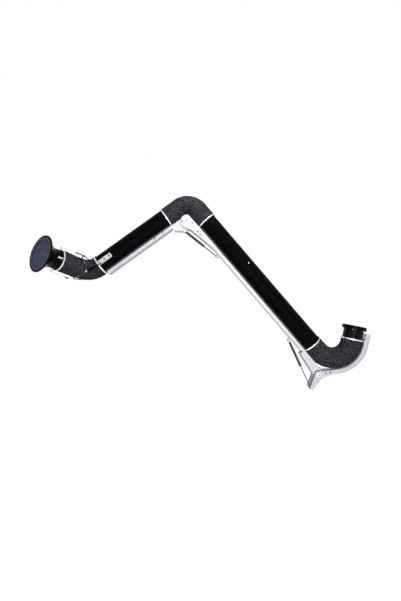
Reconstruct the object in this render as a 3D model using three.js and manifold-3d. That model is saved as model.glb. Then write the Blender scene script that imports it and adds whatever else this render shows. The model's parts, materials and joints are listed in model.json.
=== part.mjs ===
// Fume extraction arm: a swivel base, two hose-jointed tubes held by gas springs, and a flared hood.
// Units are millimetres. Every group is laid out as forward (x), near (y) and up (z).
import * as THREE from 'three';
import { mergeVertices } from 'three/addons/utils/BufferGeometryUtils.js';
import Module from 'manifold-3d';

const wasm = await Module();
wasm.setup();

// Duct, hose and clamp sizes
const TUBE_RADIUS = 80;
const TUBE_WALL = 2.5;
const FIT = 0.4;
const OVERLAP = 1;
const HOSE_WALL = 1.6;
const RIB_HEIGHT = 2;
const RIB_PITCH = 20;
const RIBS_PER_BORE_STEP = 2;
const HOSE_SIDES = 14;
const SPIGOT = 22;
const CLAMP_WALL = 2;
const CLAMP_WIDTH = 10;
const CLAMP_INSET = 4;
const ROUND_SIDES = 24;
const SMALL_SIDES = 12;
const HOSE_BORE = (TUBE_RADIUS + FIT) / Math.cos(Math.PI / HOSE_SIDES);
const HOSE_VALLEY = HOSE_BORE + HOSE_WALL;
const HOSE_CREST = HOSE_VALLEY + RIB_HEIGHT;
const CLAMP_INNER = (HOSE_CREST + FIT) / Math.cos(Math.PI / ROUND_SIDES);

// Swivel base
const FLANGE_RADIUS = 97;
const FLANGE_HEIGHT = 32;
const FLANGE_PLATE = 8;
const FLANGE_BORE = 66;
const FLANGE_SKIRT_INNER = 85;
const BOLT_CIRCLE = 91;
const BOLT_HOLE_RADIUS = 3;
const BOLT_COUNT = 6;
const BEARING_HEIGHT = 6;
const BEARING_INNER = 72;
const COLLAR_LIP = 6;
const COLLAR_LIP_RADIUS = 84;
const RETAINER_HEIGHT = 8;
const COLLAR_LENGTH = 106;

// Arm links and their pose
const LOWER_RISE = THREE.MathUtils.degToRad(37.5);
const UPPER_RISE = THREE.MathUtils.degToRad(-47.4);
const PIVOT_DROP = 130;
const SHOULDER_SETBACK = 235;
const LOWER_TUBE_LENGTH = 1351;
const ELBOW_OVERHANG = 111;
const ELBOW_SETBACK = 134;
const UPPER_TUBE_LENGTH = 665;
const BASE_HOSE_LEAD = 37.27;
const BASE_BEND_RADIUS = 165;
const BASE_HOSE_TAIL = 89.31;
const ELBOW_BEND_RADIUS = 112;

// Channels and plates
const CHANNEL_HALF_WIDTH = 45;
const CHANNEL_WALL = 4;
const CHANNEL_DEPTH = 40;
const CHANNEL_INSET = 8;
const PLATE_THICKNESS = 6;
const PIVOT_BOLT_RADIUS = 9.7;
const PIVOT_HEAD_RADIUS = 17;
const PIVOT_HEAD = 8;
const SLEEVE_WALL = 5;
const WASHER_RADIUS = 26;
const PLATE_LAP = 160;
const PLATE_EYE_RADIUS = 38;
const PLATE_RISE = 46;
const TONGUE_SHOULDER = 57;
const CHEEK_EYE_RADIUS = 34;
const ELBOW_DISC_RADIUS = 54;
const ELBOW_PLATE_LAP = 330;
const ELBOW_PLATE_HEEL = 86;
const C_BRACKET_REACH = 110;
const C_BRACKET_TOP = -48;
const C_BRACKET_THICKNESS = 40;
const C_BRACKET_CHAMFER = 3;
const LEVER_FORWARD = 36;
const LEVER_UP = -120;
const LEVER_EYE_RADIUS = 15;
const CHEEK_HEEL = 17;

// Gas springs
const SPRING_EYE_RADIUS = 12;
const SPRING_EYE_HALF_WIDTH = 8;
const SPRING_PIN_RADIUS = 5;
const SPRING_BARREL_RADIUS = 11;
const SPRING_BARREL_WALL = 2.5;
const SPRING_ROD_RADIUS = 5;
const SPRING_GLAND = 8;
const SPRING_NECK = 24;
const SHOULDER_SPRING_MOUNT = 376;
const SHOULDER_BARREL_LENGTH = 220;
const SHOULDER_ROD_HIDDEN = 100;
const ELBOW_SPRING_SETBACK = 391;
const ELBOW_BARREL_LENGTH = 184;
const ELBOW_ROD_HIDDEN = 105;
const ELBOW_LEVER_FORWARD = 59;
const ELBOW_LEVER_UP = -52;
const BOSS_RADIUS = 8;
const EAR_THICKNESS = 5;
const FOOT_HALF_LENGTH = 30;

// Hood joint
const TILT_AHEAD = 116;
const HOOD_PITCH = THREE.MathUtils.degToRad(10.5);
const HOOD_SWING = THREE.MathUtils.degToRad(52);
const YOKE_REACH = 98;
const YOKE_HALF_HEIGHT = 101;
const YOKE_STRIP = 10;
const YOKE_STRIP_THICKNESS = 7;
const YOKE_EYE_PROUD = 2;
const YOKE_STEPS = 32;
const LINK_CLEARANCE = 1.4;
const LINK_THICKNESS = 5;
const LINK_WIDTH = 30;
const LINK_PLATE_LENGTH = 122;
const LINK_PLATE_WIDTH = 36;
const TILT_BOLT_RADIUS = 7;
const TILT_HEAD_RADIUS = 12;
const HOOD_HOSE_HANDLE = 126;
const STRAP_WIDTH = 22;
const STRAP_THICKNESS = 4;
const SWING_STUD_RADIUS = 5;
const GRIP_LENGTH = 78;
const KNOB_RADIUS = 15;
const KNOB_HEIGHT = 11;
const KNOB_FORWARD = 80;

// Hood
const NECK_FORWARD = 216;
const MOUTH_FORWARD = 361;
const NECK_LENGTH = 46;
const RIM_RADIUS = 150;
const RIM_BEAD = 7;
const LIP_RADIUS = 128;
const LIP_THICKNESS = 2.5;
const HOOD_WALL = 2.5;
const HOOD_SIDES = 32;
const GUARD_SIDES = 32;
const GUARD_THICKNESS = 2.4;
const GUARD_RIM = 7;
const GUARD_PITCH = 28;
const GUARD_BAR = 3;
const DAMPER_AHEAD = 12;
const DAMPER_CLEARANCE = 3;
const DAMPER_THICKNESS = 3;
const DAMPER_ROLL = THREE.MathUtils.degToRad(18);
const SPINDLE_RADIUS = 4;
const DAMPER_LEVER_LENGTH = 34;
const DAMPER_LEVER_WIDTH = 12;
const DAMPER_LEVER_THICKNESS = 5;

const NEAR = new THREE.Vector3(0, 1, 0);
const SIDES = [['near', 1], ['far', -1]];

function finish(color, roughness, metalness) {
  return new THREE.MeshStandardMaterial({ color, roughness, metalness });
}
const blackTube = finish(0x08080a, 0.25, 0.1);
const blackPlastic = finish(0x0c0c0e, 0.4, 0);
const fabric = finish(0x2a2930, 0.85, 0);
const aluminium = finish(0xdcdbe6, 0.4, 0.5);
const whiteSteel = finish(0xf2f1f6, 0.4, 0.2);
const brightSteel = finish(0xe6e6ea, 0.25, 0.9);
const springBlack = finish(0x111113, 0.3, 0.3);
const meshBlue = finish(0x45507a, 0.5, 0.6);
const bronze = finish(0x9a8a6a, 0.4, 0.7);

// A closed geometry with shared corners and its faces pointing out
function closed(geometry) {
  const bare = geometry.clone();
  for (const name of ['normal', 'uv']) bare.deleteAttribute(name);
  const merged = mergeVertices(bare, 1e-4);
  const place = merged.attributes.position;
  const index = Array.from(merged.index.array);
  const corner = (i) => new THREE.Vector3().fromBufferAttribute(place, i);
  let volume = 0;
  for (let i = 0; i < index.length; i += 3) {
    const cross = new THREE.Vector3().crossVectors(corner(index[i + 1]), corner(index[i + 2]));
    volume += corner(index[i]).dot(cross);
  }
  if (volume < 0) index.reverse();
  merged.setIndex(index);
  return merged;
}

function solidOf(geometry) {
  const body = closed(geometry);
  const vertProperties = new Float32Array(body.attributes.position.array);
  const triVerts = new Uint32Array(body.index.array);
  return new wasm.Manifold(new wasm.Mesh({ numProp: 3, vertProperties, triVerts }));
}

function geometryOf(solid) {
  const mesh = solid.getMesh();
  const geometry = new THREE.BufferGeometry();
  geometry.setAttribute('position', new THREE.Float32BufferAttribute(mesh.vertProperties, 3));
  geometry.setIndex(Array.from(mesh.triVerts));
  return geometry;
}

function join(first, ...others) {
  return geometryOf(others.reduce((sum, other) => sum.add(solidOf(other)), solidOf(first)));
}

function cut(first, ...tools) {
  return geometryOf(tools.reduce((sum, tool) => sum.subtract(solidOf(tool)), solidOf(first)));
}

// Turned pieces: pairs of radius and place along the axis
function turned(profile, axis, sides = ROUND_SIDES) {
  const geometry = new THREE.LatheGeometry(profile.map(([r, s]) => new THREE.Vector2(r, s)), sides);
  if (axis === 'x') geometry.rotateZ(-Math.PI / 2);
  if (axis === 'z') geometry.rotateX(Math.PI / 2);
  return geometry;
}

const ringProfile = (inner, outer, from, to) => [
  [inner, from], [outer, from], [outer, to], [inner, to], [inner, from]];
function ring(inner, outer, from, to, axis, sides) {
  return turned(ringProfile(inner, outer, from, to), axis, sides);
}
const rod = (radius, from, to, axis, sides = SMALL_SIDES) =>
  turned([[0, from], [radius, from], [radius, to], [0, to]], axis, sides);

// A flat plate outlined in forward and up, from one near value to another
function plate(shape, from, to) {
  const depth = to - from;
  const geometry = new THREE.ExtrudeGeometry(shape, { depth, bevelEnabled: false, curveSegments: 10 });
  geometry.rotateX(Math.PI / 2);
  geometry.translate(0, to, 0);
  return geometry;
}

function block(forward, near, up) {
  const size = [forward, near, up].map(([low, high]) => high - low);
  const middle = [forward, near, up].map(([low, high]) => (high + low) / 2);
  return new THREE.BoxGeometry(...size).translate(...middle);
}

const moved = (geometry, forward, near, up) => geometry.translate(forward, near, up);
const outline = (points) => new THREE.Shape(points.map(([x, y]) => new THREE.Vector2(x, y)));

// Rings of points joined into one body that closes on itself
function ringLoop(rings) {
  const sides = rings[0].length;
  const points = rings.flat();
  const index = [];
  for (let i = 0; i < rings.length; i += 1) {
    const next = (i + 1) % rings.length;
    for (let j = 0; j < sides; j += 1) {
      const k = (j + 1) % sides;
      const [a, b, c, d] = [i * sides + j, next * sides + j, next * sides + k, i * sides + k];
      index.push(a, b, c, a, c, d);
    }
  }
  const geometry = new THREE.BufferGeometry().setFromPoints(points);
  geometry.setIndex(index);
  return closed(geometry);
}

const arm = new THREE.Group();
arm.rotation.z = Math.PI;

function frameAt(parent, position, rise = 0) {
  const group = new THREE.Group();
  group.position.copy(position);
  group.rotation.y = -rise;
  parent.add(group);
  return group;
}

function piece(parent, name, geometry, material) {
  const mesh = new THREE.Mesh(closed(geometry), material);
  mesh.name = name;
  parent.add(mesh);
}

// Directions and points in the arm's own frame
const along = (rise) => new THREE.Vector3(Math.cos(rise), 0, Math.sin(rise));
const across = (rise) => new THREE.Vector3(-Math.sin(rise), 0, Math.cos(rise));
const reach = (from, rise, forward, up) =>
  from.clone().addScaledVector(along(rise), forward).addScaledVector(across(rise), up);

const ELBOW_FORWARD = SHOULDER_SETBACK + LOWER_TUBE_LENGTH + ELBOW_OVERHANG;
const LOWER_END = SHOULDER_SETBACK + LOWER_TUBE_LENGTH;
const UPPER_END = ELBOW_SETBACK + UPPER_TUBE_LENGTH;
const ELBOW_SPRING_MOUNT = ELBOW_FORWARD - ELBOW_SPRING_SETBACK;
const DAMPER_FORWARD = NECK_FORWARD + DAMPER_AHEAD;

// The base hose drops from the collar and bends up to the lower tube, and the shoulder hangs below that tube
const origin = new THREE.Vector3();
const BEND_TOP = -COLLAR_LENGTH - BASE_HOSE_LEAD;
const bendCentre = new THREE.Vector3(BASE_BEND_RADIUS, 0, BEND_TOP);
const lowerTubeRear = reach(bendCentre, LOWER_RISE, BASE_HOSE_TAIL, -BASE_BEND_RADIUS);
const shoulderPoint = reach(lowerTubeRear, LOWER_RISE, -SHOULDER_SETBACK, -PIVOT_DROP);
const elbowPoint = reach(shoulderPoint, LOWER_RISE, ELBOW_FORWARD, 0);
const tiltPoint = reach(elbowPoint, UPPER_RISE, UPPER_END + TILT_AHEAD, PIVOT_DROP);
const swingPoint = reach(tiltPoint, HOOD_PITCH, YOKE_REACH, 0);
const hoodAxis = along(HOOD_PITCH).multiplyScalar(Math.cos(HOOD_SWING))
  .addScaledVector(NEAR, Math.sin(HOOD_SWING));

const base = frameAt(arm, origin);
const lowerArm = frameAt(arm, shoulderPoint, LOWER_RISE);
const upperArm = frameAt(arm, elbowPoint, UPPER_RISE);
const yoke = frameAt(arm, tiltPoint, HOOD_PITCH);
const hood = frameAt(yoke, new THREE.Vector3(YOKE_REACH, 0, 0));
hood.rotation.z = HOOD_SWING;

// Heights of the channel under a tube, and the two layers of plates at a pivot
const CHANNEL_INNER = CHANNEL_HALF_WIDTH - CHANNEL_WALL;
const CHANNEL_TOP = PIVOT_DROP - Math.sqrt(TUBE_RADIUS ** 2 - CHANNEL_INNER ** 2) - FIT;
const CHANNEL_BOTTOM = CHANNEL_TOP - CHANNEL_DEPTH;
const TONGUE_BOTTOM = CHANNEL_BOTTOM + CHANNEL_WALL + FIT;
const INNER_TO = CHANNEL_INNER - FIT;
const INNER_FROM = INNER_TO - PLATE_THICKNESS;
const OUTER_FROM = CHANNEL_HALF_WIDTH + FIT;
const OUTER_TO = OUTER_FROM + PLATE_THICKNESS;
const BOLT_HOLE = PIVOT_BOLT_RADIUS + FIT;
const SPRING_EYE_UP = CHANNEL_BOTTOM - FIT - EAR_THICKNESS - SPRING_EYE_RADIUS - FIT;

// A plate on one side of the arm, between two distances from its middle plane
const onSide = (from, to, sign) => (sign > 0 ? [from, to] : [-to, -from]);
const sidePlate = (shape, from, to, sign) => plate(shape, ...onSide(from, to, sign));
const sideRing = (inner, outer, from, to, sign) => ring(inner, outer, ...onSide(from, to, sign), 'y');
const sideRod = (radius, from, to, sign) => rod(radius, ...onSide(from, to, sign), 'y');
const clampRing = (from, axis) => ring(CLAMP_INNER, CLAMP_INNER + CLAMP_WALL, from, from + CLAMP_WIDTH, axis);

// Swivel base
const BEARING_TOP = -FLANGE_PLATE - FIT;
const LIP_TOP = BEARING_TOP - BEARING_HEIGHT - FIT;
const RETAINER_TOP = LIP_TOP - COLLAR_LIP - FIT;

function mountingFlange() {
  const body = turned([
    [FLANGE_BORE, 0], [FLANGE_RADIUS, 0],
    [FLANGE_RADIUS, -FLANGE_HEIGHT], [FLANGE_SKIRT_INNER, -FLANGE_HEIGHT],
    [FLANGE_SKIRT_INNER, -FLANGE_PLATE], [FLANGE_BORE, -FLANGE_PLATE], [FLANGE_BORE, 0],
  ], 'z', HOOD_SIDES);
  const holes = Array.from({ length: BOLT_COUNT }, (_, i) => {
    const turn = (i + 0.5) * 2 * Math.PI / BOLT_COUNT;
    const hole = rod(BOLT_HOLE_RADIUS, -FLANGE_HEIGHT - OVERLAP, OVERLAP, 'z');
    return moved(hole, BOLT_CIRCLE * Math.cos(turn), BOLT_CIRCLE * Math.sin(turn), 0);
  });
  return cut(body, ...holes);
}

function baseCollar() {
  const inner = TUBE_RADIUS - TUBE_WALL;
  const bottom = -COLLAR_LENGTH - SPIGOT;
  return turned([
    [inner, LIP_TOP], [COLLAR_LIP_RADIUS, LIP_TOP], [COLLAR_LIP_RADIUS, LIP_TOP - COLLAR_LIP],
    [TUBE_RADIUS, LIP_TOP - COLLAR_LIP], [TUBE_RADIUS, bottom], [inner, bottom], [inner, LIP_TOP],
  ], 'z');
}

function retainingRing() {
  const bottom = RETAINER_TOP - RETAINER_HEIGHT;
  return ring(TUBE_RADIUS + FIT, FLANGE_SKIRT_INNER - FIT, bottom, RETAINER_TOP, 'z');
}

piece(base, 'mounting_flange', mountingFlange(), blackPlastic);
piece(base, 'swivel_bearing_ring',
  ring(BEARING_INNER, COLLAR_LIP_RADIUS, BEARING_TOP - BEARING_HEIGHT, BEARING_TOP, 'z'), bronze);
piece(base, 'swivel_retaining_ring', retainingRing(), brightSteel);
piece(base, 'base_collar', baseCollar(), blackTube);
piece(base, 'collar_clamp', clampRing(-COLLAR_LENGTH - CLAMP_INSET - CLAMP_WIDTH, 'z'), brightSteel);

// Paths with straight ends and one round bend
class RoundBend extends THREE.Curve {
  constructor(centre, outward, forward, radius, turn) {
    super();
    Object.assign(this, { centre, outward, forward, radius, turn });
  }

  getPoint(t, target = new THREE.Vector3()) {
    const angle = t * this.turn;
    return target.copy(this.centre)
      .addScaledVector(this.outward, this.radius * Math.cos(angle))
      .addScaledVector(this.forward, this.radius * Math.sin(angle));
  }
}

function pathOf(...curves) {
  const path = new THREE.CurvePath();
  curves.forEach((curve) => path.add(curve));
  return path;
}

// The corner where two straight runs in the arm's plane would meet, rounded off
function bentPath(start, startWay, end, endWay, radius) {
  const inward = new THREE.Vector3(-startWay.z, 0, startWay.x);
  const gap = end.clone().sub(start);
  const turn = startWay.angleTo(endWay);
  const sideStep = inward.clone().multiplyScalar(Math.sign(inward.dot(endWay)));
  const backToCorner = gap.dot(sideStep) / endWay.dot(sideStep);
  const corner = end.clone().addScaledVector(endWay, -backToCorner);
  const tangent = radius * Math.tan(turn / 2);
  const from = corner.clone().addScaledVector(startWay, -tangent);
  const to = corner.clone().addScaledVector(endWay, tangent);
  const centre = from.clone().addScaledVector(sideStep, radius);
  const bend = new RoundBend(centre, sideStep.clone().negate(), startWay, radius, turn);
  return pathOf(new THREE.LineCurve3(start, from), bend, new THREE.LineCurve3(to, end));
}

// A cross-section's near and outward directions at a place on a path
function sectionAt(path, t) {
  const tangent = path.getTangent(t).normalize();
  const near = NEAR.clone().addScaledVector(tangent, -NEAR.dot(tangent)).normalize();
  return { centre: path.getPoint(t), near, out: new THREE.Vector3().crossVectors(tangent, near) };
}

function sectionRing(path, t, corners) {
  const { centre, near, out } = sectionAt(path, t);
  return corners.map(([a, b]) => centre.clone().addScaledVector(near, a).addScaledVector(out, b));
}

const roundCorners = (radius) => Array.from({ length: HOSE_SIDES }, (_, i) => {
  const angle = i * 2 * Math.PI / HOSE_SIDES;
  return [radius * Math.cos(angle), radius * Math.sin(angle)];
});

// A ribbed hose with its bore, over part of a path
function hose(path, from = 0, to = 1) {
  const ribs = Math.round(path.getLength() * (to - from) / RIB_PITCH);
  const at = (share) => THREE.MathUtils.lerp(from, to, share);
  const rings = [];
  for (let i = 0; i <= 2 * ribs; i += 1) {
    const radius = i % 2 === 0 ? HOSE_VALLEY : HOSE_CREST;
    rings.push(sectionRing(path, at(i / (2 * ribs)), roundCorners(radius)));
  }
  const cuff = (SPIGOT + CLAMP_INSET) / (path.getLength() * (to - from));
  const steps = Math.ceil(ribs / RIBS_PER_BORE_STEP);
  const inner = Array.from({ length: steps + 1 }, (_, i) => THREE.MathUtils.lerp(cuff, 1 - cuff, i / steps));
  const bore = [0, ...inner, 1].reverse();
  bore.forEach((share) => rings.push(sectionRing(path, at(share), roundCorners(HOSE_BORE))));
  return ringLoop(rings);
}

// Curved bracket outside the base hose
const C_BRACKET_RADIUS = BASE_BEND_RADIUS + C_BRACKET_REACH;
const C_BRACKET_TURN = THREE.MathUtils.degToRad(78);
const CHEEK_LAP_TURN = THREE.MathUtils.degToRad(60);
const BRACKET_STEPS = 18;
const SADDLE_HALF_WIDTH = 26;
const SADDLE_HEIGHT = 44;

function cBracket() {
  const down = new THREE.Vector3(0, 0, -1);
  const back = new THREE.Vector3(-1, 0, 0);
  const top = new THREE.Vector3(-C_BRACKET_REACH, 0, C_BRACKET_TOP);
  const bendStart = new THREE.Vector3(-C_BRACKET_REACH, 0, BEND_TOP);
  const bend = new RoundBend(bendCentre, back, down, C_BRACKET_RADIUS, C_BRACKET_TURN);
  const path = pathOf(new THREE.LineCurve3(top, bendStart), bend);
  const corners = (inset) => {
    const [a, b] = [CHANNEL_HALF_WIDTH - inset, C_BRACKET_THICKNESS / 2 - inset];
    const chamfer = C_BRACKET_CHAMFER;
    return [[a, b - chamfer], [a - chamfer, b], [chamfer - a, b], [-a, b - chamfer],
      [-a, chamfer - b], [chamfer - a, -b], [a - chamfer, -b], [a, chamfer - b]];
  };
  const places = Array.from({ length: BRACKET_STEPS + 1 }, (_, i) => i / BRACKET_STEPS);
  const outer = places.map((t) => sectionRing(path, t, corners(0)));
  const inner = places.toReversed().map((t) => sectionRing(path, t, corners(CHANNEL_WALL)));
  const face = C_BRACKET_REACH - C_BRACKET_THICKNESS / 2;
  const saddleTop = C_BRACKET_TOP - CLAMP_INSET;
  const saddle = block([-face - OVERLAP, -TUBE_RADIUS - FIT], [-SADDLE_HALF_WIDTH, SADDLE_HALF_WIDTH],
    [saddleTop - SADDLE_HEIGHT, saddleTop]);
  return join(ringLoop([...outer, ...inner]), saddle);
}

piece(base, 'c_bracket', cBracket(), aluminium);

// Shoulder cheeks on the bracket's end, with the spring lever
const leverPoint = shoulderPoint.clone().add(new THREE.Vector3(LEVER_FORWARD, 0, LEVER_UP));
const { x: shoulderForward, z: shoulderUp } = shoulderPoint;

function cheekShape() {
  const onBracket = (turn, radius) => [
    bendCentre.x - radius * Math.cos(turn), bendCentre.z - radius * Math.sin(turn)];
  const half = C_BRACKET_THICKNESS / 2 - CHANNEL_WALL;
  const shape = new THREE.Shape();
  shape.moveTo(...onBracket(CHEEK_LAP_TURN, C_BRACKET_RADIUS - half));
  shape.lineTo(...onBracket(C_BRACKET_TURN, C_BRACKET_RADIUS - half));
  shape.absarc(shoulderForward, shoulderUp, CHEEK_EYE_RADIUS, Math.PI * 0.6, -0.15, true);
  shape.absarc(leverPoint.x, leverPoint.z, LEVER_EYE_RADIUS, 0.1, -Math.PI * 0.85, true);
  shape.lineTo(shoulderForward - CHEEK_EYE_RADIUS, shoulderUp - CHEEK_HEEL);
  shape.lineTo(...onBracket(C_BRACKET_TURN, C_BRACKET_RADIUS + half));
  shape.lineTo(...onBracket(CHEEK_LAP_TURN, C_BRACKET_RADIUS + half));
  return shape;
}

function pivotHole(point) {
  const half = OUTER_TO + OVERLAP;
  return moved(rod(BOLT_HOLE, -half, half, 'y'), point.x, 0, point.z);
}

function pivotBolt() {
  const seat = OUTER_TO + FIT;
  const head = seat + PIVOT_HEAD;
  return turned([
    [0, -head], [PIVOT_HEAD_RADIUS, -head], [PIVOT_HEAD_RADIUS, -seat], [PIVOT_BOLT_RADIUS, -seat],
    [PIVOT_BOLT_RADIUS, seat], [PIVOT_HEAD_RADIUS, seat], [PIVOT_HEAD_RADIUS, head], [0, head],
  ], 'y', SMALL_SIDES);
}

for (const [side, sign] of SIDES) {
  const cheek = sidePlate(cheekShape(), OUTER_FROM, OUTER_TO, sign);
  piece(base, `shoulder_cheek_${side}`, cut(cheek, pivotHole(shoulderPoint)), aluminium);
  const boss = sideRod(BOSS_RADIUS, SPRING_EYE_HALF_WIDTH + FIT, OUTER_FROM - FIT, sign);
  piece(base, `shoulder_spring_boss_${side}`, moved(boss, leverPoint.x, 0, leverPoint.z), brightSteel);
}
piece(base, 'shoulder_pivot_bolt', moved(pivotBolt(), shoulderForward, 0, shoulderUp), brightSteel);

// Tubes, channels and the plates inside a channel's end
function armTube(start, length) {
  const tube = ring(TUBE_RADIUS - TUBE_WALL, TUBE_RADIUS, start - SPIGOT, start + length + SPIGOT, 'x');
  return moved(tube, 0, 0, PIVOT_DROP);
}

function channel(from, to) {
  const [outer, inner, floor] = [CHANNEL_HALF_WIDTH, CHANNEL_INNER, CHANNEL_BOTTOM + CHANNEL_WALL];
  const shape = outline([
    [-outer, CHANNEL_BOTTOM], [outer, CHANNEL_BOTTOM], [outer, CHANNEL_TOP], [inner, CHANNEL_TOP],
    [inner, floor], [-inner, floor], [-inner, CHANNEL_TOP], [-outer, CHANNEL_TOP],
  ]);
  const geometry = new THREE.ExtrudeGeometry(shape, { depth: to - from, bevelEnabled: false });
  const [x, y, z] = [new THREE.Vector3(0, 1, 0), new THREE.Vector3(0, 0, 1), new THREE.Vector3(1, 0, 0)];
  return moved(geometry.applyMatrix4(new THREE.Matrix4().makeBasis(x, y, z)), from, 0, 0);
}

// The eye at the pivot, an optional spring lobe, and a tongue that lies in the channel
function tongueShape(channelStart, lobe) {
  const shape = new THREE.Shape();
  const end = channelStart + PLATE_LAP;
  shape.moveTo(end, TONGUE_BOTTOM);
  shape.lineTo(end, PLATE_RISE);
  shape.lineTo(TONGUE_SHOULDER, PLATE_RISE);
  shape.absarc(0, 0, PLATE_EYE_RADIUS, Math.PI * 0.45, -Math.PI * 0.6, false);
  if (lobe) shape.absarc(...lobe, LEVER_EYE_RADIUS, -Math.PI * 0.65, Math.PI * 0.1, false);
  shape.lineTo(channelStart - CHANNEL_INSET, 0);
  shape.lineTo(channelStart - CHANNEL_INSET, TONGUE_BOTTOM);
  return shape;
}

function innerPlates(parent, name, channelStart, lobe) {
  for (const [side, sign] of SIDES) {
    const tongue = sidePlate(tongueShape(channelStart, lobe), INNER_FROM, INNER_TO, sign);
    piece(parent, `${name}_plate_${side}`, cut(tongue, pivotHole(origin)), whiteSteel);
    const washer = sideRing(BOLT_HOLE, WASHER_RADIUS, INNER_TO + FIT, OUTER_FROM - FIT, sign);
    piece(parent, `${name}_friction_washer_${side}`, washer, bronze);
  }
  const half = INNER_FROM - FIT;
  const sleeve = ring(BOLT_HOLE, BOLT_HOLE + SLEEVE_WALL, -half, half, 'y', SMALL_SIDES);
  piece(parent, `${name}_pivot_sleeve`, sleeve, brightSteel);
}

// A clevis with its pin under the lower channel
function springBracket() {
  const top = CHANNEL_BOTTOM - FIT;
  const inside = SPRING_EYE_HALF_WIDTH + FIT;
  const outside = inside + EAR_THICKNESS;
  const foot = block([-FOOT_HALF_LENGTH, FOOT_HALF_LENGTH], [-outside, outside], [top - EAR_THICKNESS, top]);
  const ears = SIDES.map(([, sign]) => {
    const up = [SPRING_EYE_UP - SPRING_EYE_RADIUS, top - OVERLAP];
    return block([-SPRING_EYE_RADIUS, SPRING_EYE_RADIUS], onSide(inside, outside, sign), up);
  });
  return join(foot, ...ears, moved(rod(SPRING_PIN_RADIUS, -outside, outside, 'y'), 0, 0, SPRING_EYE_UP));
}

const lowerChannelStart = SHOULDER_SETBACK + CHANNEL_INSET;
const upperChannelStart = ELBOW_SETBACK + CHANNEL_INSET;
piece(lowerArm, 'lower_tube', armTube(SHOULDER_SETBACK, LOWER_TUBE_LENGTH), blackTube);
piece(lowerArm, 'lower_channel', channel(lowerChannelStart, LOWER_END - CHANNEL_INSET), aluminium);
innerPlates(lowerArm, 'shoulder', lowerChannelStart);
piece(lowerArm, 'shoulder_spring_bracket', moved(springBracket(), SHOULDER_SPRING_MOUNT, 0, 0), whiteSteel);
piece(lowerArm, 'elbow_spring_bracket', moved(springBracket(), ELBOW_SPRING_MOUNT, 0, 0), whiteSteel);

function elbowPlateShape() {
  const shape = new THREE.Shape();
  const start = ELBOW_FORWARD - ELBOW_PLATE_LAP;
  shape.moveTo(start, CHANNEL_BOTTOM);
  shape.lineTo(ELBOW_FORWARD - ELBOW_PLATE_HEEL, CHANNEL_BOTTOM - CHANNEL_DEPTH);
  shape.absarc(ELBOW_FORWARD, 0, ELBOW_DISC_RADIUS, -Math.PI * 0.7, Math.PI * 0.3, false);
  shape.lineTo(LOWER_END - CHANNEL_INSET, PLATE_RISE);
  shape.lineTo(start, PLATE_RISE);
  return shape;
}

const elbowPivot = new THREE.Vector3(ELBOW_FORWARD, 0, 0);
for (const [side, sign] of SIDES) {
  const outer = sidePlate(elbowPlateShape(), OUTER_FROM, OUTER_TO, sign);
  piece(lowerArm, `elbow_fork_plate_${side}`, cut(outer, pivotHole(elbowPivot)), whiteSteel);
}
piece(lowerArm, 'elbow_pivot_bolt', moved(pivotBolt(), ELBOW_FORWARD, 0, 0), brightSteel);

piece(upperArm, 'upper_tube', armTube(ELBOW_SETBACK, UPPER_TUBE_LENGTH), blackTube);
piece(upperArm, 'upper_channel', channel(upperChannelStart, UPPER_END - CHANNEL_INSET), aluminium);
innerPlates(upperArm, 'elbow', upperChannelStart, [ELBOW_LEVER_FORWARD, ELBOW_LEVER_UP]);
for (const [side, sign] of SIDES) {
  const atPivot = sideRod(BOSS_RADIUS, SPRING_EYE_HALF_WIDTH + FIT, INNER_FROM - FIT, sign);
  const boss = moved(atPivot, ELBOW_LEVER_FORWARD, 0, ELBOW_LEVER_UP);
  piece(upperArm, `elbow_spring_boss_${side}`, boss, brightSteel);
}

// Hoses and the clamps on the tubes
const atTubeEnd = (parent, name, from) => piece(
  parent, name, moved(clampRing(from, 'x'), 0, 0, PIVOT_DROP), brightSteel);
const beforeTube = (start) => start - CLAMP_INSET - CLAMP_WIDTH;
const afterTube = (end) => end + CLAMP_INSET;
atTubeEnd(lowerArm, 'lower_tube_rear_clamp', beforeTube(SHOULDER_SETBACK));
atTubeEnd(lowerArm, 'lower_tube_front_clamp', afterTube(LOWER_END));
atTubeEnd(upperArm, 'upper_tube_rear_clamp', beforeTube(ELBOW_SETBACK));
atTubeEnd(upperArm, 'upper_tube_front_clamp', afterTube(UPPER_END));

const collarEnd = new THREE.Vector3(0, 0, -COLLAR_LENGTH);
const lowerTubeFront = reach(shoulderPoint, LOWER_RISE, LOWER_END, PIVOT_DROP);
const upperTubeRear = reach(elbowPoint, UPPER_RISE, ELBOW_SETBACK, PIVOT_DROP);
const upperTubeFront = reach(elbowPoint, UPPER_RISE, UPPER_END, PIVOT_DROP);
const basePath = bentPath(
  collarEnd, new THREE.Vector3(0, 0, -1), lowerTubeRear, along(LOWER_RISE), BASE_BEND_RADIUS);
const elbowPath = bentPath(
  lowerTubeFront, along(LOWER_RISE), upperTubeRear, along(UPPER_RISE), ELBOW_BEND_RADIUS);
piece(arm, 'base_hose', hose(basePath), fabric);
piece(arm, 'elbow_hose', hose(elbowPath), fabric);

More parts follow.
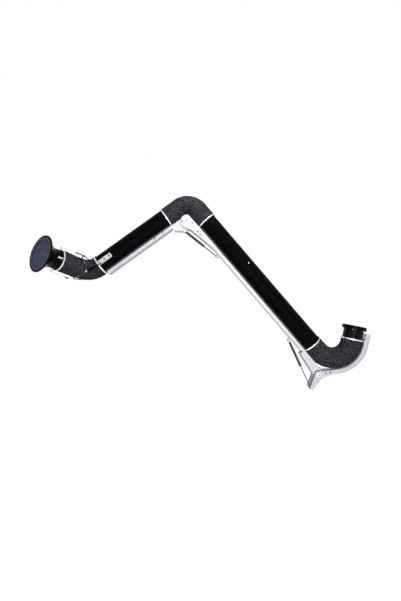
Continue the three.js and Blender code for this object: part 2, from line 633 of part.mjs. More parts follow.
const HOOD_STRAIGHT = SPIGOT + CLAMP_INSET;
const neckPoint = swingPoint.clone().addScaledVector(hoodAxis, NECK_FORWARD);
const hoodHoseStart = upperTubeFront.clone().addScaledVector(along(UPPER_RISE), HOOD_STRAIGHT);
const hoodHoseEnd = neckPoint.clone().addScaledVector(hoodAxis, -HOOD_STRAIGHT);
const hoodPath = pathOf(
  new THREE.LineCurve3(upperTubeFront, hoodHoseStart),
  new THREE.CubicBezierCurve3(
    hoodHoseStart, hoodHoseStart.clone().addScaledVector(along(UPPER_RISE), HOOD_HOSE_HANDLE),
    hoodHoseEnd.clone().addScaledVector(hoodAxis, -HOOD_HOSE_HANDLE), hoodHoseEnd),
  new THREE.LineCurve3(hoodHoseEnd, neckPoint),
);
const HOSE_SPLIT = 0.5;
const HOSE_SPLIT_GAP = FIT / hoodPath.getLength();
piece(arm, 'hood_hose_rear', hose(hoodPath, 0, HOSE_SPLIT - HOSE_SPLIT_GAP), fabric);
piece(arm, 'hood_hose_front', hose(hoodPath, HOSE_SPLIT + HOSE_SPLIT_GAP, 1), fabric);

// Gas springs: the barrel starts at one eye and the rod ends at the other
function springEye(forward) {
  const width = SPRING_EYE_HALF_WIDTH;
  return moved(rod(SPRING_EYE_RADIUS, -width, width, 'y'), forward, 0, 0);
}

function pinHole(forward) {
  const half = SPRING_EYE_HALF_WIDTH + OVERLAP;
  return moved(rod(SPRING_PIN_RADIUS + FIT, -half, half, 'y'), forward, 0, 0);
}

function springBarrel(length) {
  const mouth = SPRING_NECK + length;
  const floor = SPRING_NECK + SPRING_GLAND;
  const bore = SPRING_BARREL_RADIUS - SPRING_BARREL_WALL;
  const slide = SPRING_ROD_RADIUS + FIT;
  const barrel = turned([
    [0, SPRING_NECK], [SPRING_BARREL_RADIUS, SPRING_NECK], [SPRING_BARREL_RADIUS, mouth], [slide, mouth],
    [slide, mouth - SPRING_GLAND], [bore, mouth - SPRING_GLAND], [bore, floor], [0, floor],
  ], 'x');
  const neck = rod(SPRING_ROD_RADIUS + OVERLAP, 0, SPRING_NECK + OVERLAP, 'x');
  return join(barrel, neck, springEye(0));
}

function springRod(from, to) {
  const piston = SPRING_BARREL_RADIUS - SPRING_BARREL_WALL - FIT;
  const shaft = rod(SPRING_ROD_RADIUS, from, to, 'x');
  return join(shaft, rod(piston, from, from + SPRING_GLAND, 'x'), springEye(to));
}

function gasSpring(name, barrelEnd, rodEnd, barrelLength, hidden, hingedAtBarrel) {
  const way = rodEnd.clone().sub(barrelEnd);
  const total = way.length();
  const group = frameAt(arm, barrelEnd, Math.atan2(way.z, way.x));
  const barrel = springBarrel(barrelLength);
  const slider = springRod(SPRING_NECK + barrelLength - hidden, total);
  piece(group, `${name}_spring_barrel`, hingedAtBarrel ? cut(barrel, pinHole(0)) : barrel, springBlack);
  piece(group, `${name}_spring_rod`, hingedAtBarrel ? slider : cut(slider, pinHole(total)), brightSteel);
}

const shoulderSpringTop = reach(shoulderPoint, LOWER_RISE, SHOULDER_SPRING_MOUNT, SPRING_EYE_UP);
const elbowSpringFoot = reach(shoulderPoint, LOWER_RISE, ELBOW_SPRING_MOUNT, SPRING_EYE_UP);
const elbowLever = reach(elbowPoint, UPPER_RISE, ELBOW_LEVER_FORWARD, ELBOW_LEVER_UP);
gasSpring('shoulder', shoulderSpringTop, leverPoint, SHOULDER_BARREL_LENGTH, SHOULDER_ROD_HIDDEN, true);
gasSpring('elbow', elbowLever, elbowSpringFoot, ELBOW_BARREL_LENGTH, ELBOW_ROD_HIDDEN, false);

// Links from the upper tube to the tilt bolts
const TILT_FORWARD = UPPER_END + TILT_AHEAD;
const HOSE_SAMPLES = 200;

// How far the hood hose reaches to the near side beside the links
function hoseNearReach() {
  const linkEnd = TILT_AHEAD + LINK_WIDTH / 2;
  let widest = 0;
  for (let i = 0; i <= HOSE_SAMPLES; i += 1) {
    const { centre, near } = sectionAt(hoodPath, i / HOSE_SAMPLES);
    const ahead = centre.clone().sub(upperTubeFront).dot(along(UPPER_RISE));
    if (ahead < linkEnd) widest = Math.max(widest, centre.y + HOSE_CREST * near.y);
  }
  return widest;
}

const LINK_FROM = hoseNearReach() + LINK_CLEARANCE;
const LINK_TO = LINK_FROM + LINK_THICKNESS;
const YOKE_EYE_INNER = LINK_TO + FIT;
const YOKE_HALF_WIDTH = YOKE_EYE_INNER + YOKE_EYE_PROUD + YOKE_STRIP_THICKNESS / 2;
const YOKE_EYE_OUTER = YOKE_HALF_WIDTH + YOKE_STRIP_THICKNESS / 2;
const LINK_LAP = 30;
const LINK_CORNER = 6;

function linkShape() {
  const half = LINK_WIDTH / 2;
  const start = UPPER_END - CLAMP_INSET - LINK_LAP;
  const shape = new THREE.Shape();
  shape.moveTo(start, PIVOT_DROP + half);
  shape.absarc(TILT_FORWARD, PIVOT_DROP, half, Math.PI / 2, -Math.PI / 2, true);
  shape.lineTo(start, PIVOT_DROP - half);
  return shape;
}

function linkPlateShape() {
  const half = LINK_PLATE_WIDTH / 2;
  const end = UPPER_END - CLAMP_INSET;
  const start = end - LINK_PLATE_LENGTH;
  return outline([
    [start + LINK_CORNER, PIVOT_DROP - half], [end, PIVOT_DROP - half], [end, PIVOT_DROP + half],
    [start + LINK_CORNER, PIVOT_DROP + half], [start, PIVOT_DROP + half - LINK_CORNER],
    [start, PIVOT_DROP - half + LINK_CORNER],
  ]);
}

function tiltBolt(sign) {
  const head = YOKE_EYE_OUTER + FIT;
  const shank = sideRod(TILT_BOLT_RADIUS, LINK_FROM, head + OVERLAP, sign);
  return join(shank, sideRod(TILT_HEAD_RADIUS, head, head + TILT_BOLT_RADIUS, sign));
}

const tiltHole = () => rod(TILT_BOLT_RADIUS + FIT, -2 * YOKE_HALF_WIDTH, 2 * YOKE_HALF_WIDTH, 'y');
for (const [side, sign] of SIDES) {
  const linkPlate = sidePlate(linkPlateShape(), TUBE_RADIUS + FIT, LINK_FROM - FIT, sign);
  piece(upperArm, `hood_link_plate_${side}`, linkPlate, whiteSteel);
  const uncut = sidePlate(linkShape(), LINK_FROM, LINK_TO, sign);
  const link = cut(uncut, moved(tiltHole(), TILT_FORWARD, 0, PIVOT_DROP));
  piece(upperArm, `hood_link_${side}`, link, blackPlastic);
  piece(yoke, `hood_tilt_bolt_${side}`, tiltBolt(sign), brightSteel);
}

// Arched yoke: one strip over and under the hose, with eyes at the tilt bolts and studs at its crowns
const SQUARENESS = 0.5;
const YOKE_SWEEP = 1.5;
const SMALL_TURN = 1e-3;
const STUD_FROM = YOKE_HALF_HEIGHT - OVERLAP;
const STRAP_FROM = YOKE_HALF_HEIGHT + YOKE_STRIP_THICKNESS / 2 + FIT;
const STRAP_TO = STRAP_FROM + STRAP_THICKNESS;
const STUD_TO = STRAP_TO + FIT;
const squared = (value) => Math.sign(value) * Math.abs(value) ** SQUARENESS;

function yokePoint(angle) {
  const up = squared(Math.sin(angle));
  const forward = YOKE_REACH * Math.abs(up) ** YOKE_SWEEP;
  return new THREE.Vector3(forward, YOKE_HALF_WIDTH * squared(Math.cos(angle)), YOKE_HALF_HEIGHT * up);
}

function yokeRing(angle) {
  const point = yokePoint(angle);
  const tangent = yokePoint(angle + SMALL_TURN).sub(yokePoint(angle - SMALL_TURN)).normalize();
  const out = new THREE.Vector3(0, point.y, point.z).normalize();
  out.addScaledVector(tangent, -out.dot(tangent)).normalize();
  const side = new THREE.Vector3().crossVectors(tangent, out);
  const [a, b] = [YOKE_STRIP / 2, YOKE_STRIP_THICKNESS / 2];
  return [[a, b], [-a, b], [-a, -b], [a, -b]].map(
    ([s, o]) => point.clone().addScaledVector(side, s).addScaledVector(out, o));
}

function hoodYoke() {
  const rings = Array.from({ length: YOKE_STEPS }, (_, i) => yokeRing(i * 2 * Math.PI / YOKE_STEPS));
  const eyes = SIDES.map(([, sign]) => sideRod(LINK_WIDTH / 2, YOKE_EYE_INNER, YOKE_EYE_OUTER, sign));
  const studs = SIDES.map(([, sign]) => {
    const stud = rod(SWING_STUD_RADIUS, ...onSide(STUD_FROM, STUD_TO, sign), 'z');
    return moved(stud, YOKE_REACH, 0, 0);
  });
  return cut(join(ringLoop(rings), ...eyes, ...studs), tiltHole());
}

piece(yoke, 'hood_yoke', hoodYoke(), springBlack);

// Hood shell: a straight neck, a flare and a lip turned in at the mouth
const FLARE_FROM = NECK_FORWARD + NECK_LENGTH;
const FLARE_STEPS = 6;
const FLARE_POWER = 1.9;
const GUARD_FORWARD = MOUTH_FORWARD - RIM_BEAD - GUARD_THICKNESS;
const FLARE_TO = MOUTH_FORWARD - RIM_BEAD;

function flareRadius(forward) {
  const share = (forward - FLARE_FROM) / (FLARE_TO - FLARE_FROM);
  return TUBE_RADIUS + (RIM_RADIUS - RIM_BEAD / 2 - TUBE_RADIUS) * share ** FLARE_POWER;
}

function hoodShell() {
  const flare = Array.from({ length: FLARE_STEPS + 1 }, (_, i) =>
    THREE.MathUtils.lerp(FLARE_FROM, FLARE_TO, i / FLARE_STEPS));
  const back = NECK_FORWARD - SPIGOT;
  const outside = [[TUBE_RADIUS, back], ...flare.map((x) => [flareRadius(x), x])];
  const inside = outside.map(([r, x]) => [r - HOOD_WALL, x]).reverse();
  const bead = [
    [RIM_RADIUS, FLARE_TO], [RIM_RADIUS, MOUTH_FORWARD - OVERLAP], [RIM_RADIUS - RIM_BEAD / 2, MOUTH_FORWARD],
    [LIP_RADIUS, MOUTH_FORWARD], [LIP_RADIUS, MOUTH_FORWARD - LIP_THICKNESS],
    [RIM_RADIUS - RIM_BEAD, MOUTH_FORWARD - LIP_THICKNESS],
  ];
  const shell = turned([...outside, ...bead, ...inside, outside[0]], 'x', HOOD_SIDES);
  return cut(shell, damperTool(rod(SPINDLE_RADIUS + FIT, -2 * TUBE_RADIUS, 2 * TUBE_RADIUS, 'y')));
}

const damperTool = (geometry) => moved(geometry.rotateX(DAMPER_ROLL), DAMPER_FORWARD, 0, 0);

function meshGuard() {
  const radius = flareRadius(GUARD_FORWARD - GUARD_THICKNESS) - HOOD_WALL - FIT;
  const [from, to] = [GUARD_FORWARD - GUARD_THICKNESS, GUARD_FORWARD];
  const half = (GUARD_PITCH - GUARD_BAR) / 2;
  const count = Math.floor(radius / GUARD_PITCH);
  const gaps = [];
  for (let row = -count; row <= count; row += 1) {
    for (let column = -count; column <= count; column += 1) {
      const [y, z] = [row * GUARD_PITCH, column * GUARD_PITCH];
      const corner = Math.hypot(Math.abs(y) + half, Math.abs(z) + half);
      if (corner > radius - GUARD_RIM) continue;
      gaps.push(block([from - OVERLAP, to + OVERLAP], [y - half, y + half], [z - half, z + half]));
    }
  }
  return cut(rod(radius, from, to, 'x', GUARD_SIDES), ...gaps);
}

piece(hood, 'hood_shell', hoodShell(), blackPlastic);
piece(hood, 'mesh_guard', meshGuard(), meshBlue);
piece(hood, 'hood_neck_clamp', clampRing(beforeTube(NECK_FORWARD), 'x'), brightSteel);

// Straps from the crown studs to stand-offs on the hood's neck
const STRAP_BACK = -STRAP_WIDTH / 2;
const STANDOFF_AHEAD = 8;
const STANDOFF_FORWARD = NECK_FORWARD + STANDOFF_AHEAD;
const STANDOFF_RADIUS = 6;
const STRAP_FRONT = STANDOFF_FORWARD + STANDOFF_RADIUS + OVERLAP;
const GRIP_FORWARD = 12;
const GRIP_WALL = 5;

function hoodStrap(sign) {
  const half = STRAP_WIDTH / 2;
  const strip = block([STRAP_BACK, STRAP_FRONT], [-half, half], onSide(STRAP_FROM, STRAP_TO, sign));
  const standoff = rod(STANDOFF_RADIUS, ...onSide(TUBE_RADIUS + FIT, STRAP_FROM + OVERLAP, sign), 'z');
  const hole = rod(SWING_STUD_RADIUS + FIT, ...onSide(STRAP_FROM - OVERLAP, STRAP_TO + OVERLAP, sign), 'z');
  return cut(join(strip, moved(standoff, STANDOFF_FORWARD, 0, 0)), hole);
}

function strapGrip() {
  const half = STRAP_WIDTH / 2;
  const sleeve = block([GRIP_FORWARD, GRIP_FORWARD + GRIP_LENGTH], [-half - GRIP_WALL, half + GRIP_WALL],
    [STRAP_FROM - FIT, STRAP_TO + GRIP_WALL]);
  return cut(sleeve, block([0, GRIP_FORWARD + GRIP_LENGTH + OVERLAP], [-half - FIT, half + FIT],
    [STRAP_FROM - 2 * FIT, STRAP_TO + FIT]));
}

piece(hood, 'hood_strap_top', hoodStrap(1), brightSteel);
piece(hood, 'hood_strap_bottom', hoodStrap(-1), brightSteel);
piece(hood, 'hood_grip', strapGrip(), blackPlastic);
const knob = rod(KNOB_RADIUS, -STRAP_TO - FIT - KNOB_HEIGHT, -STRAP_TO - FIT, 'z', SMALL_SIDES);
piece(hood, 'hood_knob', moved(knob, KNOB_FORWARD, 0, 0), blackPlastic);

// Damper in the neck, open at rest, with its lever outside
const damper = new THREE.Group();
damper.position.x = DAMPER_FORWARD;
damper.rotation.x = DAMPER_ROLL;
hood.add(damper);
const LEVER_FROM = TUBE_RADIUS + DAMPER_CLEARANCE;
const SPINDLE_END = LEVER_FROM + DAMPER_LEVER_THICKNESS + OVERLAP;

function damperPlate() {
  const radius = TUBE_RADIUS - HOOD_WALL - DAMPER_CLEARANCE;
  const disc = rod(radius, -DAMPER_THICKNESS / 2, DAMPER_THICKNESS / 2, 'z', ROUND_SIDES);
  return join(disc, rod(SPINDLE_RADIUS, -TUBE_RADIUS - OVERLAP, SPINDLE_END, 'y'));
}

function damperLever() {
  const half = DAMPER_LEVER_WIDTH / 2;
  const near = [LEVER_FROM, LEVER_FROM + DAMPER_LEVER_THICKNESS];
  const bar = block([-half, DAMPER_LEVER_LENGTH], near, [-half, half]);
  return cut(bar, rod(SPINDLE_RADIUS + FIT, 0, 2 * TUBE_RADIUS, 'y'));
}

piece(damper, 'damper_plate', damperPlate(), brightSteel);
piece(damper, 'damper_lever', damperLever(), whiteSteel);

export default arm;
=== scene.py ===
# Looks of the fume extraction arm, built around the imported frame. Lengths are metres.
import json
import math

import bmesh
import bpy
from mathutils import Matrix, Vector, noise


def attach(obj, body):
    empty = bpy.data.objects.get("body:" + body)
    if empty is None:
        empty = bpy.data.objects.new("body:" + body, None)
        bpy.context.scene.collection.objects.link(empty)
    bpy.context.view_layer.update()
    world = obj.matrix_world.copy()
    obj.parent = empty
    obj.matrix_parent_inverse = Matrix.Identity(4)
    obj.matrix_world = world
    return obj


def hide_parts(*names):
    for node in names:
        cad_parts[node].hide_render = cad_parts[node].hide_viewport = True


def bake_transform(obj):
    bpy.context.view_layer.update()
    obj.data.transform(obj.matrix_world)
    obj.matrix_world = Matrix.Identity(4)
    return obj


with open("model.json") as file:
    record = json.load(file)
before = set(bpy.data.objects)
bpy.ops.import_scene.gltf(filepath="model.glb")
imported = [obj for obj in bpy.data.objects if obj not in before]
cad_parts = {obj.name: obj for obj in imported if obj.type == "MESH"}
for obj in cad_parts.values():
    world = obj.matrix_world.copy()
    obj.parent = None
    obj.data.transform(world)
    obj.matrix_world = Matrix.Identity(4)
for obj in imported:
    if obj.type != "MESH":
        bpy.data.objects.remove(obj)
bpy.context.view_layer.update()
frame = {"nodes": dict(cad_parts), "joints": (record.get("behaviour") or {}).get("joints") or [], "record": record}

# Sizes shared with the construction
TUBE_RADIUS = 0.080
TUBE_WALL = 0.0025
SPIGOT = 0.022
PIVOT_DROP = 0.130
SHOULDER_SETBACK = 0.235
LOWER_TUBE_LENGTH = 1.351
ELBOW_SETBACK = 0.134
UPPER_TUBE_LENGTH = 0.665
UPPER_RISE = math.radians(-47.4)
HOOD_PITCH = math.radians(10.5)
HOOD_SWING = math.radians(52)
BASE_BEND_RADIUS = 0.165
ELBOW_BEND_RADIUS = 0.112
COLLAR_LENGTH = 0.106
CLAMP_WIDTH = 0.010
CLAMP_INSET = 0.004
HOOD_HOSE_HANDLE = 0.126
NECK_FORWARD = 0.216
MOUTH_FORWARD = 0.361
NECK_LENGTH = 0.046
RIM_RADIUS = 0.150
RIM_BEAD = 0.007
LIP_RADIUS = 0.128
LIP_THICKNESS = 0.0025
HOOD_WALL = 0.0025
YOKE_REACH = 0.098
YOKE_HALF_HEIGHT = 0.101
C_BRACKET_REACH = 0.110
C_BRACKET_TOP = -0.048
C_BRACKET_THICKNESS = 0.040
C_BRACKET_TURN = math.radians(78)
CHANNEL_HALF_WIDTH = 0.045

# The photograph's camera
PHOTO_WIDTH = 401
PHOTO_HEIGHT = 601
SENSOR = 36.0
FOCAL_PIXELS = 340
CAMERA_AT = Vector((-1.3276, -2.893, -0.0599))
CAMERA_UP = Vector((-0.206, 0, 0.979))

FORWARD = Vector((-1, 0, 0))
NEAR = Vector((0, -1, 0))
UP = Vector((0, 0, 1))
SIDES = (("near", 1), ("far", -1))
joint = {j["name"]: j for j in frame["joints"]}


def axes_matrix(*columns):
    """A matrix from three directions and a place."""
    return Matrix([[column[i] for column in columns] for i in range(3)] + [[0, 0, 0, 1]])


class Layout:
    """A place with its own forward, near and up directions."""

    def __init__(self, origin, forward, near=NEAR):
        self.origin = Vector(origin)
        self.forward = Vector(forward).normalized()
        self.near = Vector(near).normalized()
        self.up = self.forward.cross(self.near)

    def point(self, forward, near=0.0, up=0.0):
        return self.origin + self.forward * forward + self.near * near + self.up * up

    def moved(self, forward, near=0.0, up=0.0):
        return Layout(self.point(forward, near, up), self.forward, self.near)

    def matrix(self):
        return axes_matrix(self.forward, self.near, self.up, self.origin)


def rising(origin, rise):
    """A layout in the arm's plane that points forward and up by an angle."""
    return Layout(origin, FORWARD * math.cos(rise) + UP * math.sin(rise))


def joint_point(name):
    return Vector(joint[name]["pos_m"])


shoulder_at = joint_point("shoulder")
elbow_at = joint_point("elbow")
lower_way = elbow_at - shoulder_at
LOWER_RISE = math.atan2(lower_way.z, -lower_way.x)
base = Layout((0, 0, 0), FORWARD)
down = Layout((0, 0, 0), -UP)
lower = rising(shoulder_at, LOWER_RISE)
upper = rising(elbow_at, UPPER_RISE)
lower_axis = lower.moved(0, 0, PIVOT_DROP)
upper_axis = upper.moved(0, 0, PIVOT_DROP)
lower_elbow = rising(elbow_at, LOWER_RISE)
yoke = rising(joint_point("hood_tilt"), HOOD_PITCH)
hood_way = yoke.forward * math.cos(HOOD_SWING) + NEAR * math.sin(HOOD_SWING)
hood = Layout(joint_point("hood_swing"), hood_way, yoke.up.cross(hood_way))
LOWER_END = SHOULDER_SETBACK + LOWER_TUBE_LENGTH
UPPER_END = ELBOW_SETBACK + UPPER_TUBE_LENGTH


def look_camera():
    """The camera that took the photograph, level with the arm and a little rolled."""
    data = bpy.data.cameras.new("photo_camera")
    data.sensor_width = SENSOR
    data.lens = SENSOR * FOCAL_PIXELS / max(PHOTO_WIDTH, PHOTO_HEIGHT)
    camera = bpy.data.objects.new("photo_camera", data)
    bpy.context.scene.collection.objects.link(camera)
    up = CAMERA_UP.normalized()
    camera.matrix_world = axes_matrix(up.cross(NEAR), up, NEAR, CAMERA_AT)
    bpy.context.scene.camera = camera


look_camera()


# Materials
class Finish:
    """A node material built up from a principled shader."""

    def __init__(self, name, color, roughness, metallic=0.0):
        self.material = bpy.data.materials.new(name)
        self.material.use_nodes = True
        self.tree = self.material.node_tree
        self.shader = self.tree.nodes["Principled BSDF"]
        self.coordinates = self.tree.nodes.new("ShaderNodeTexCoord").outputs["Object"]
        self.shader.inputs["Base Color"].default_value = (*color, 1)
        self.shader.inputs["Roughness"].default_value = roughness
        self.shader.inputs["Metallic"].default_value = metallic

    def set(self, **values):
        for name, value in values.items():
            self.shader.inputs[name.replace("_", " ")].default_value = value

    def stretched(self, scale):
        mapping = self.tree.nodes.new("ShaderNodeMapping")
        mapping.inputs["Scale"].default_value = scale
        self.tree.links.new(self.coordinates, mapping.inputs["Vector"])
        return mapping.outputs["Vector"]

    def noise(self, scale, detail=4.0, stretch=None):
        node = self.tree.nodes.new("ShaderNodeTexNoise")
        node.inputs["Scale"].default_value = scale
        node.inputs["Detail"].default_value = detail
        source = self.stretched(stretch) if stretch else self.coordinates
        self.tree.links.new(source, node.inputs["Vector"])
        return node.outputs["Fac"]

    def ramp(self, source, low, high, start=0.3, end=0.7):
        node = self.tree.nodes.new("ShaderNodeValToRGB")
        node.color_ramp.elements[0].position = start
        node.color_ramp.elements[0].color = (*low, 1)
        node.color_ramp.elements[1].position = end
        node.color_ramp.elements[1].color = (*high, 1)
        self.tree.links.new(source, node.inputs["Fac"])
        return node.outputs["Color"]

    def vary_color(self, source, low, high, start=0.3, end=0.7):
        self.tree.links.new(self.ramp(source, low, high, start, end), self.shader.inputs["Base Color"])
        return self

    def vary_roughness(self, source, low, high):
        node = self.tree.nodes.new("ShaderNodeMapRange")
        node.inputs["To Min"].default_value = low
        node.inputs["To Max"].default_value = high
        self.tree.links.new(source, node.inputs["Value"])
        self.tree.links.new(node.outputs["Result"], self.shader.inputs["Roughness"])
        return self

    def bump(self, source, distance, strength=0.5):
        node = self.tree.nodes.new("ShaderNodeBump")
        node.inputs["Distance"].default_value = distance
        node.inputs["Strength"].default_value = strength
        self.tree.links.new(source, node.inputs["Height"])
        earlier = self.shader.inputs["Normal"].links
        if earlier:
            self.tree.links.new(earlier[0].from_socket, node.inputs["Normal"])
        self.tree.links.new(node.outputs["Normal"], self.shader.inputs["Normal"])
        return self


def tube_black():
    made = Finish("tube_black", (0.0015, 0.0016, 0.0018), 0.45)
    made.set(Specular_IOR_Level=0.02)
    made.vary_color(made.noise(14, 6), (0.001, 0.0011, 0.0012), (0.0022, 0.0024, 0.0028))
    made.vary_roughness(made.noise(60, 5), 0.38, 0.52)
    return made.bump(made.noise(900, 2), 0.00012, 0.35).material


def collar_black():
    made = Finish("collar_black", (0.002, 0.002, 0.0024), 0.12)
    made.set(Specular_IOR_Level=0.08)
    made.vary_color(made.noise(18, 5), (0.0010, 0.0010, 0.0014), (0.002, 0.002, 0.0025))
    return made.vary_roughness(made.noise(70, 4), 0.17, 0.19).material


def moulded_black():
    made = Finish("moulded_black", (0.002, 0.002, 0.0024), 0.24)
    made.set(Specular_IOR_Level=0.03)
    made.vary_color(made.noise(20, 5), (0.0015, 0.0015, 0.002), (0.003, 0.003, 0.004))
    made.vary_roughness(made.noise(90, 4), 0.18, 0.30)
    return made.bump(made.noise(1400, 2), 0.00008, 0.3).material


def hose_fabric():
    made = Finish("hose_fabric", (0.03, 0.029, 0.035), 0.45)
    made.set(Specular_IOR_Level=0)
    # The bright speckles in the colour stand in for glints on the ribs of the hose, which has no specular: painted
    # glints over a random grain
    made.vary_color(made.noise(130, 8), (0.006, 0.0057, 0.0072), (0.160, 0.153, 0.183), 0.40, 0.72)
    made.vary_roughness(made.noise(240, 5), 0.36, 0.52)
    made.bump(made.noise(170, 6), 0.0012, 0.3)
    return made.bump(made.noise(1500, 3), 0.0002, 0.3).material


def bracket_aluminium():
    made = Finish("bracket_aluminium", (0.70, 0.69, 0.77), 0.48, 0.1)
    brushed = made.noise(90, 5, (1, 14, 1))
    made.vary_color(brushed, (0.69, 0.68, 0.755), (0.73, 0.72, 0.795))
    made.vary_roughness(brushed, 0.42, 0.50)
    return made.bump(brushed, 0.00004, 0.2).material


def white_paint():
    made = Finish("white_paint", (0.86, 0.855, 0.89), 0.42)
    made.vary_color(made.noise(25, 4), (0.84, 0.835, 0.87), (0.88, 0.875, 0.91))
    made.vary_roughness(made.noise(120, 4), 0.32, 0.46)
    return made.bump(made.noise(700, 2), 0.0001, 0.3).material


def bright_steel():
    made = Finish("bright_steel", (0.86, 0.86, 0.88), 0.24, 0.85)
    brushed = made.noise(200, 4, (1, 1, 12))
    made.vary_color(brushed, (0.80, 0.80, 0.83), (0.90, 0.90, 0.92))
    made.vary_roughness(brushed, 0.18, 0.36)
    return made.bump(brushed, 0.00005, 0.3).material


def rod_chrome():
    made = Finish("rod_chrome", (0.17, 0.17, 0.18), 0.35, 1.0)
    made.vary_roughness(made.noise(300, 3), 0.30, 0.42)
    return made.vary_color(made.noise(40, 3), (0.15, 0.15, 0.16), (0.19, 0.19, 0.20)).material


def screw_zinc():
    made = Finish("screw_zinc", (0.11, 0.11, 0.13), 0.4, 0.8)
    made.vary_color(made.noise(120, 4), (0.09, 0.09, 0.11), (0.13, 0.13, 0.15))
    return made.vary_roughness(made.noise(300, 3), 0.34, 0.48).material


def spring_black():
    made = Finish("spring_black", (0.010, 0.010, 0.012), 0.22)
    made.set(Coat_Weight=0.4, Coat_Roughness=0.08)
    made.vary_color(made.noise(50, 4), (0.007, 0.007, 0.009), (0.016, 0.016, 0.018))
    return made.vary_roughness(made.noise(150, 4), 0.18, 0.30).material


def knob_rubber():
    made = Finish("knob_rubber", (0.012, 0.012, 0.013), 0.55)
    made.vary_color(made.noise(80, 4), (0.008, 0.008, 0.009), (0.020, 0.020, 0.022))
    made.vary_roughness(made.noise(200, 4), 0.48, 0.66)
    return made.bump(made.noise(1200, 3), 0.0002, 0.5).material


def guard_wire():
    made = Finish("guard_wire", (0.105, 0.130, 0.245), 0.45, 0.2)
    made.vary_color(made.noise(30, 5), (0.080, 0.098, 0.192), (0.130, 0.160, 0.295))
    return made.vary_roughness(made.noise(300, 4), 0.36, 0.58).material


def seal_grey():
    made = Finish("seal_grey", (0.065, 0.065, 0.07), 0.55)
    made.set(Specular_IOR_Level=0.1)
    made.vary_color(made.noise(60, 4), (0.055, 0.055, 0.06), (0.075, 0.075, 0.08))
    return made.vary_roughness(made.noise(200, 4), 0.48, 0.62).material


def bearing_bronze():
    made = Finish("bearing_bronze", (0.42, 0.33, 0.18), 0.4, 0.9)
    made.vary_color(made.noise(60, 4), (0.36, 0.28, 0.15), (0.48, 0.38, 0.22))
    return made.vary_roughness(made.noise(200, 4), 0.32, 0.5).material


LOOKS = {
    "black_tube": tube_black(),
    "black_plastic": moulded_black(),
    "hose_fabric": hose_fabric(),
    "bracket_aluminium": bracket_aluminium(),
    "white_steel": white_paint(),
    "bright_steel": bright_steel(),
    "spring_black": spring_black(),
    "guard_mesh": guard_wire(),
    "bearing_bronze": bearing_bronze(),
}
CHROME = rod_chrome()
ZINC = screw_zinc()
GLOSS = collar_black()
RUBBER = knob_rubber()
SEAL = seal_grey()


# Mesh builders
ROUND_STEPS = 96
SHARP_ANGLE = math.radians(34)
WELD = 1e-6
TIP = 1e-5
PIN_STEPS = 32


def piece(name, mesh, look):
    """A smooth-shaded object that keeps its sharp edges."""
    mesh.polygons.foreach_set("use_smooth", [True] * len(mesh.polygons))
    mesh.set_sharp_from_angle(angle=SHARP_ANGLE)
    mesh.materials.append(look)
    made = bpy.data.objects.new(name, mesh)
    bpy.context.scene.collection.objects.link(made)
    return made


def around(count):
    """Angles spaced evenly round a full turn."""
    return [2 * math.pi * j / count for j in range(count)]


def joined_rings(rings, loop=False, caps=False):
    """A bmesh skin over rings of points that all have the same count."""
    skin = bmesh.new()
    rows = [[skin.verts.new(p) for p in ring] for ring in rings]
    count = len(rows[0])
    last = len(rows) if loop else len(rows) - 1
    for i in range(last):
        a, b = rows[i], rows[(i + 1) % len(rows)]
        for j in range(count):
            k = (j + 1) % count
            skin.faces.new((a[j], a[k], b[k], b[j]))
    if caps:
        skin.faces.new(rows[0][::-1])
        skin.faces.new(rows[-1])
    return skin


def finished(name, skin):
    """Turns a skin into a mesh with its faces turned out."""
    bmesh.ops.remove_doubles(skin, verts=skin.verts, dist=WELD)
    bmesh.ops.recalc_face_normals(skin, faces=skin.faces)
    mesh = bpy.data.meshes.new(name)
    skin.to_mesh(mesh)
    skin.free()
    return mesh


def dress(name, skin, body, slot, *nodes, look=None):
    """Makes a piece that rides on a body, in place of any nodes named."""
    made = piece(name, finished(name, skin), look or LOOKS[slot])
    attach(made, body)
    if nodes:
        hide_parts(*nodes)


def merge(target, other):
    """Adds one skin to another as a further closed shell."""
    mesh = bpy.data.meshes.new("merge")
    bmesh.ops.recalc_face_normals(other, faces=other.faces)
    other.to_mesh(mesh)
    other.free()
    target.from_mesh(mesh)
    bpy.data.meshes.remove(mesh)
    return target


def turned(place, profile, loop=True, steps=ROUND_STEPS):
    """A skin turned about the layout's forward axis from pairs of forward and radius."""
    rings = []
    for forward, radius in profile:
        ring = [(radius * math.cos(a), radius * math.sin(a)) for a in around(steps)]
        rings.append([place.point(forward, near, up) for near, up in ring])
    return joined_rings(rings, loop=loop, caps=not loop)


def fillet(corner, before, after, size, steps=4):
    """Points that round off a profile's corner."""
    corner, before, after = Vector(corner), Vector(before), Vector(after)
    a = corner + (before - corner).normalized() * size
    b = corner + (after - corner).normalized() * size
    points = []
    for i in range(steps + 1):
        t = i / steps
        points.append(tuple(a * (1 - t) ** 2 + corner * 2 * t * (1 - t) + b * t * t))
    return points


def rounded(profile, size):
    """A closed profile with every corner rounded off."""
    count = len(profile)
    points = []
    for i, corner in enumerate(profile):
        points += fillet(corner, profile[i - 1], profile[(i + 1) % count], size)
    return points


def sleeve(place, start, end, inner, outer, edge):
    """A turned ring with softened edges."""
    profile = [(start, inner), (start, outer), (end, outer), (end, inner)]
    return turned(place, rounded(profile, edge))


def disc(place, start, end, radius, edge, steps=48):
    """A turned solid disc or pin with softened edges."""
    corners = fillet((start, radius), (start, 0), (end, radius), edge)
    corners += fillet((end, radius), (start, radius), (end, 0), edge)
    return turned(place, [(start, TIP), *corners, (end, TIP)], loop=False, steps=steps)


def block(place, sizes, edge):
    """A box with bevelled edges, centred on a layout."""
    skin = bmesh.new()
    bmesh.ops.create_cube(skin, size=1.0)
    bmesh.ops.scale(skin, vec=Vector(sizes), verts=skin.verts)
    bmesh.ops.bevel(skin, geom=skin.edges[:], offset=edge, segments=3, profile=0.5, affect="EDGES")
    bmesh.ops.transform(skin, matrix=place.matrix(), verts=skin.verts)
    return skin


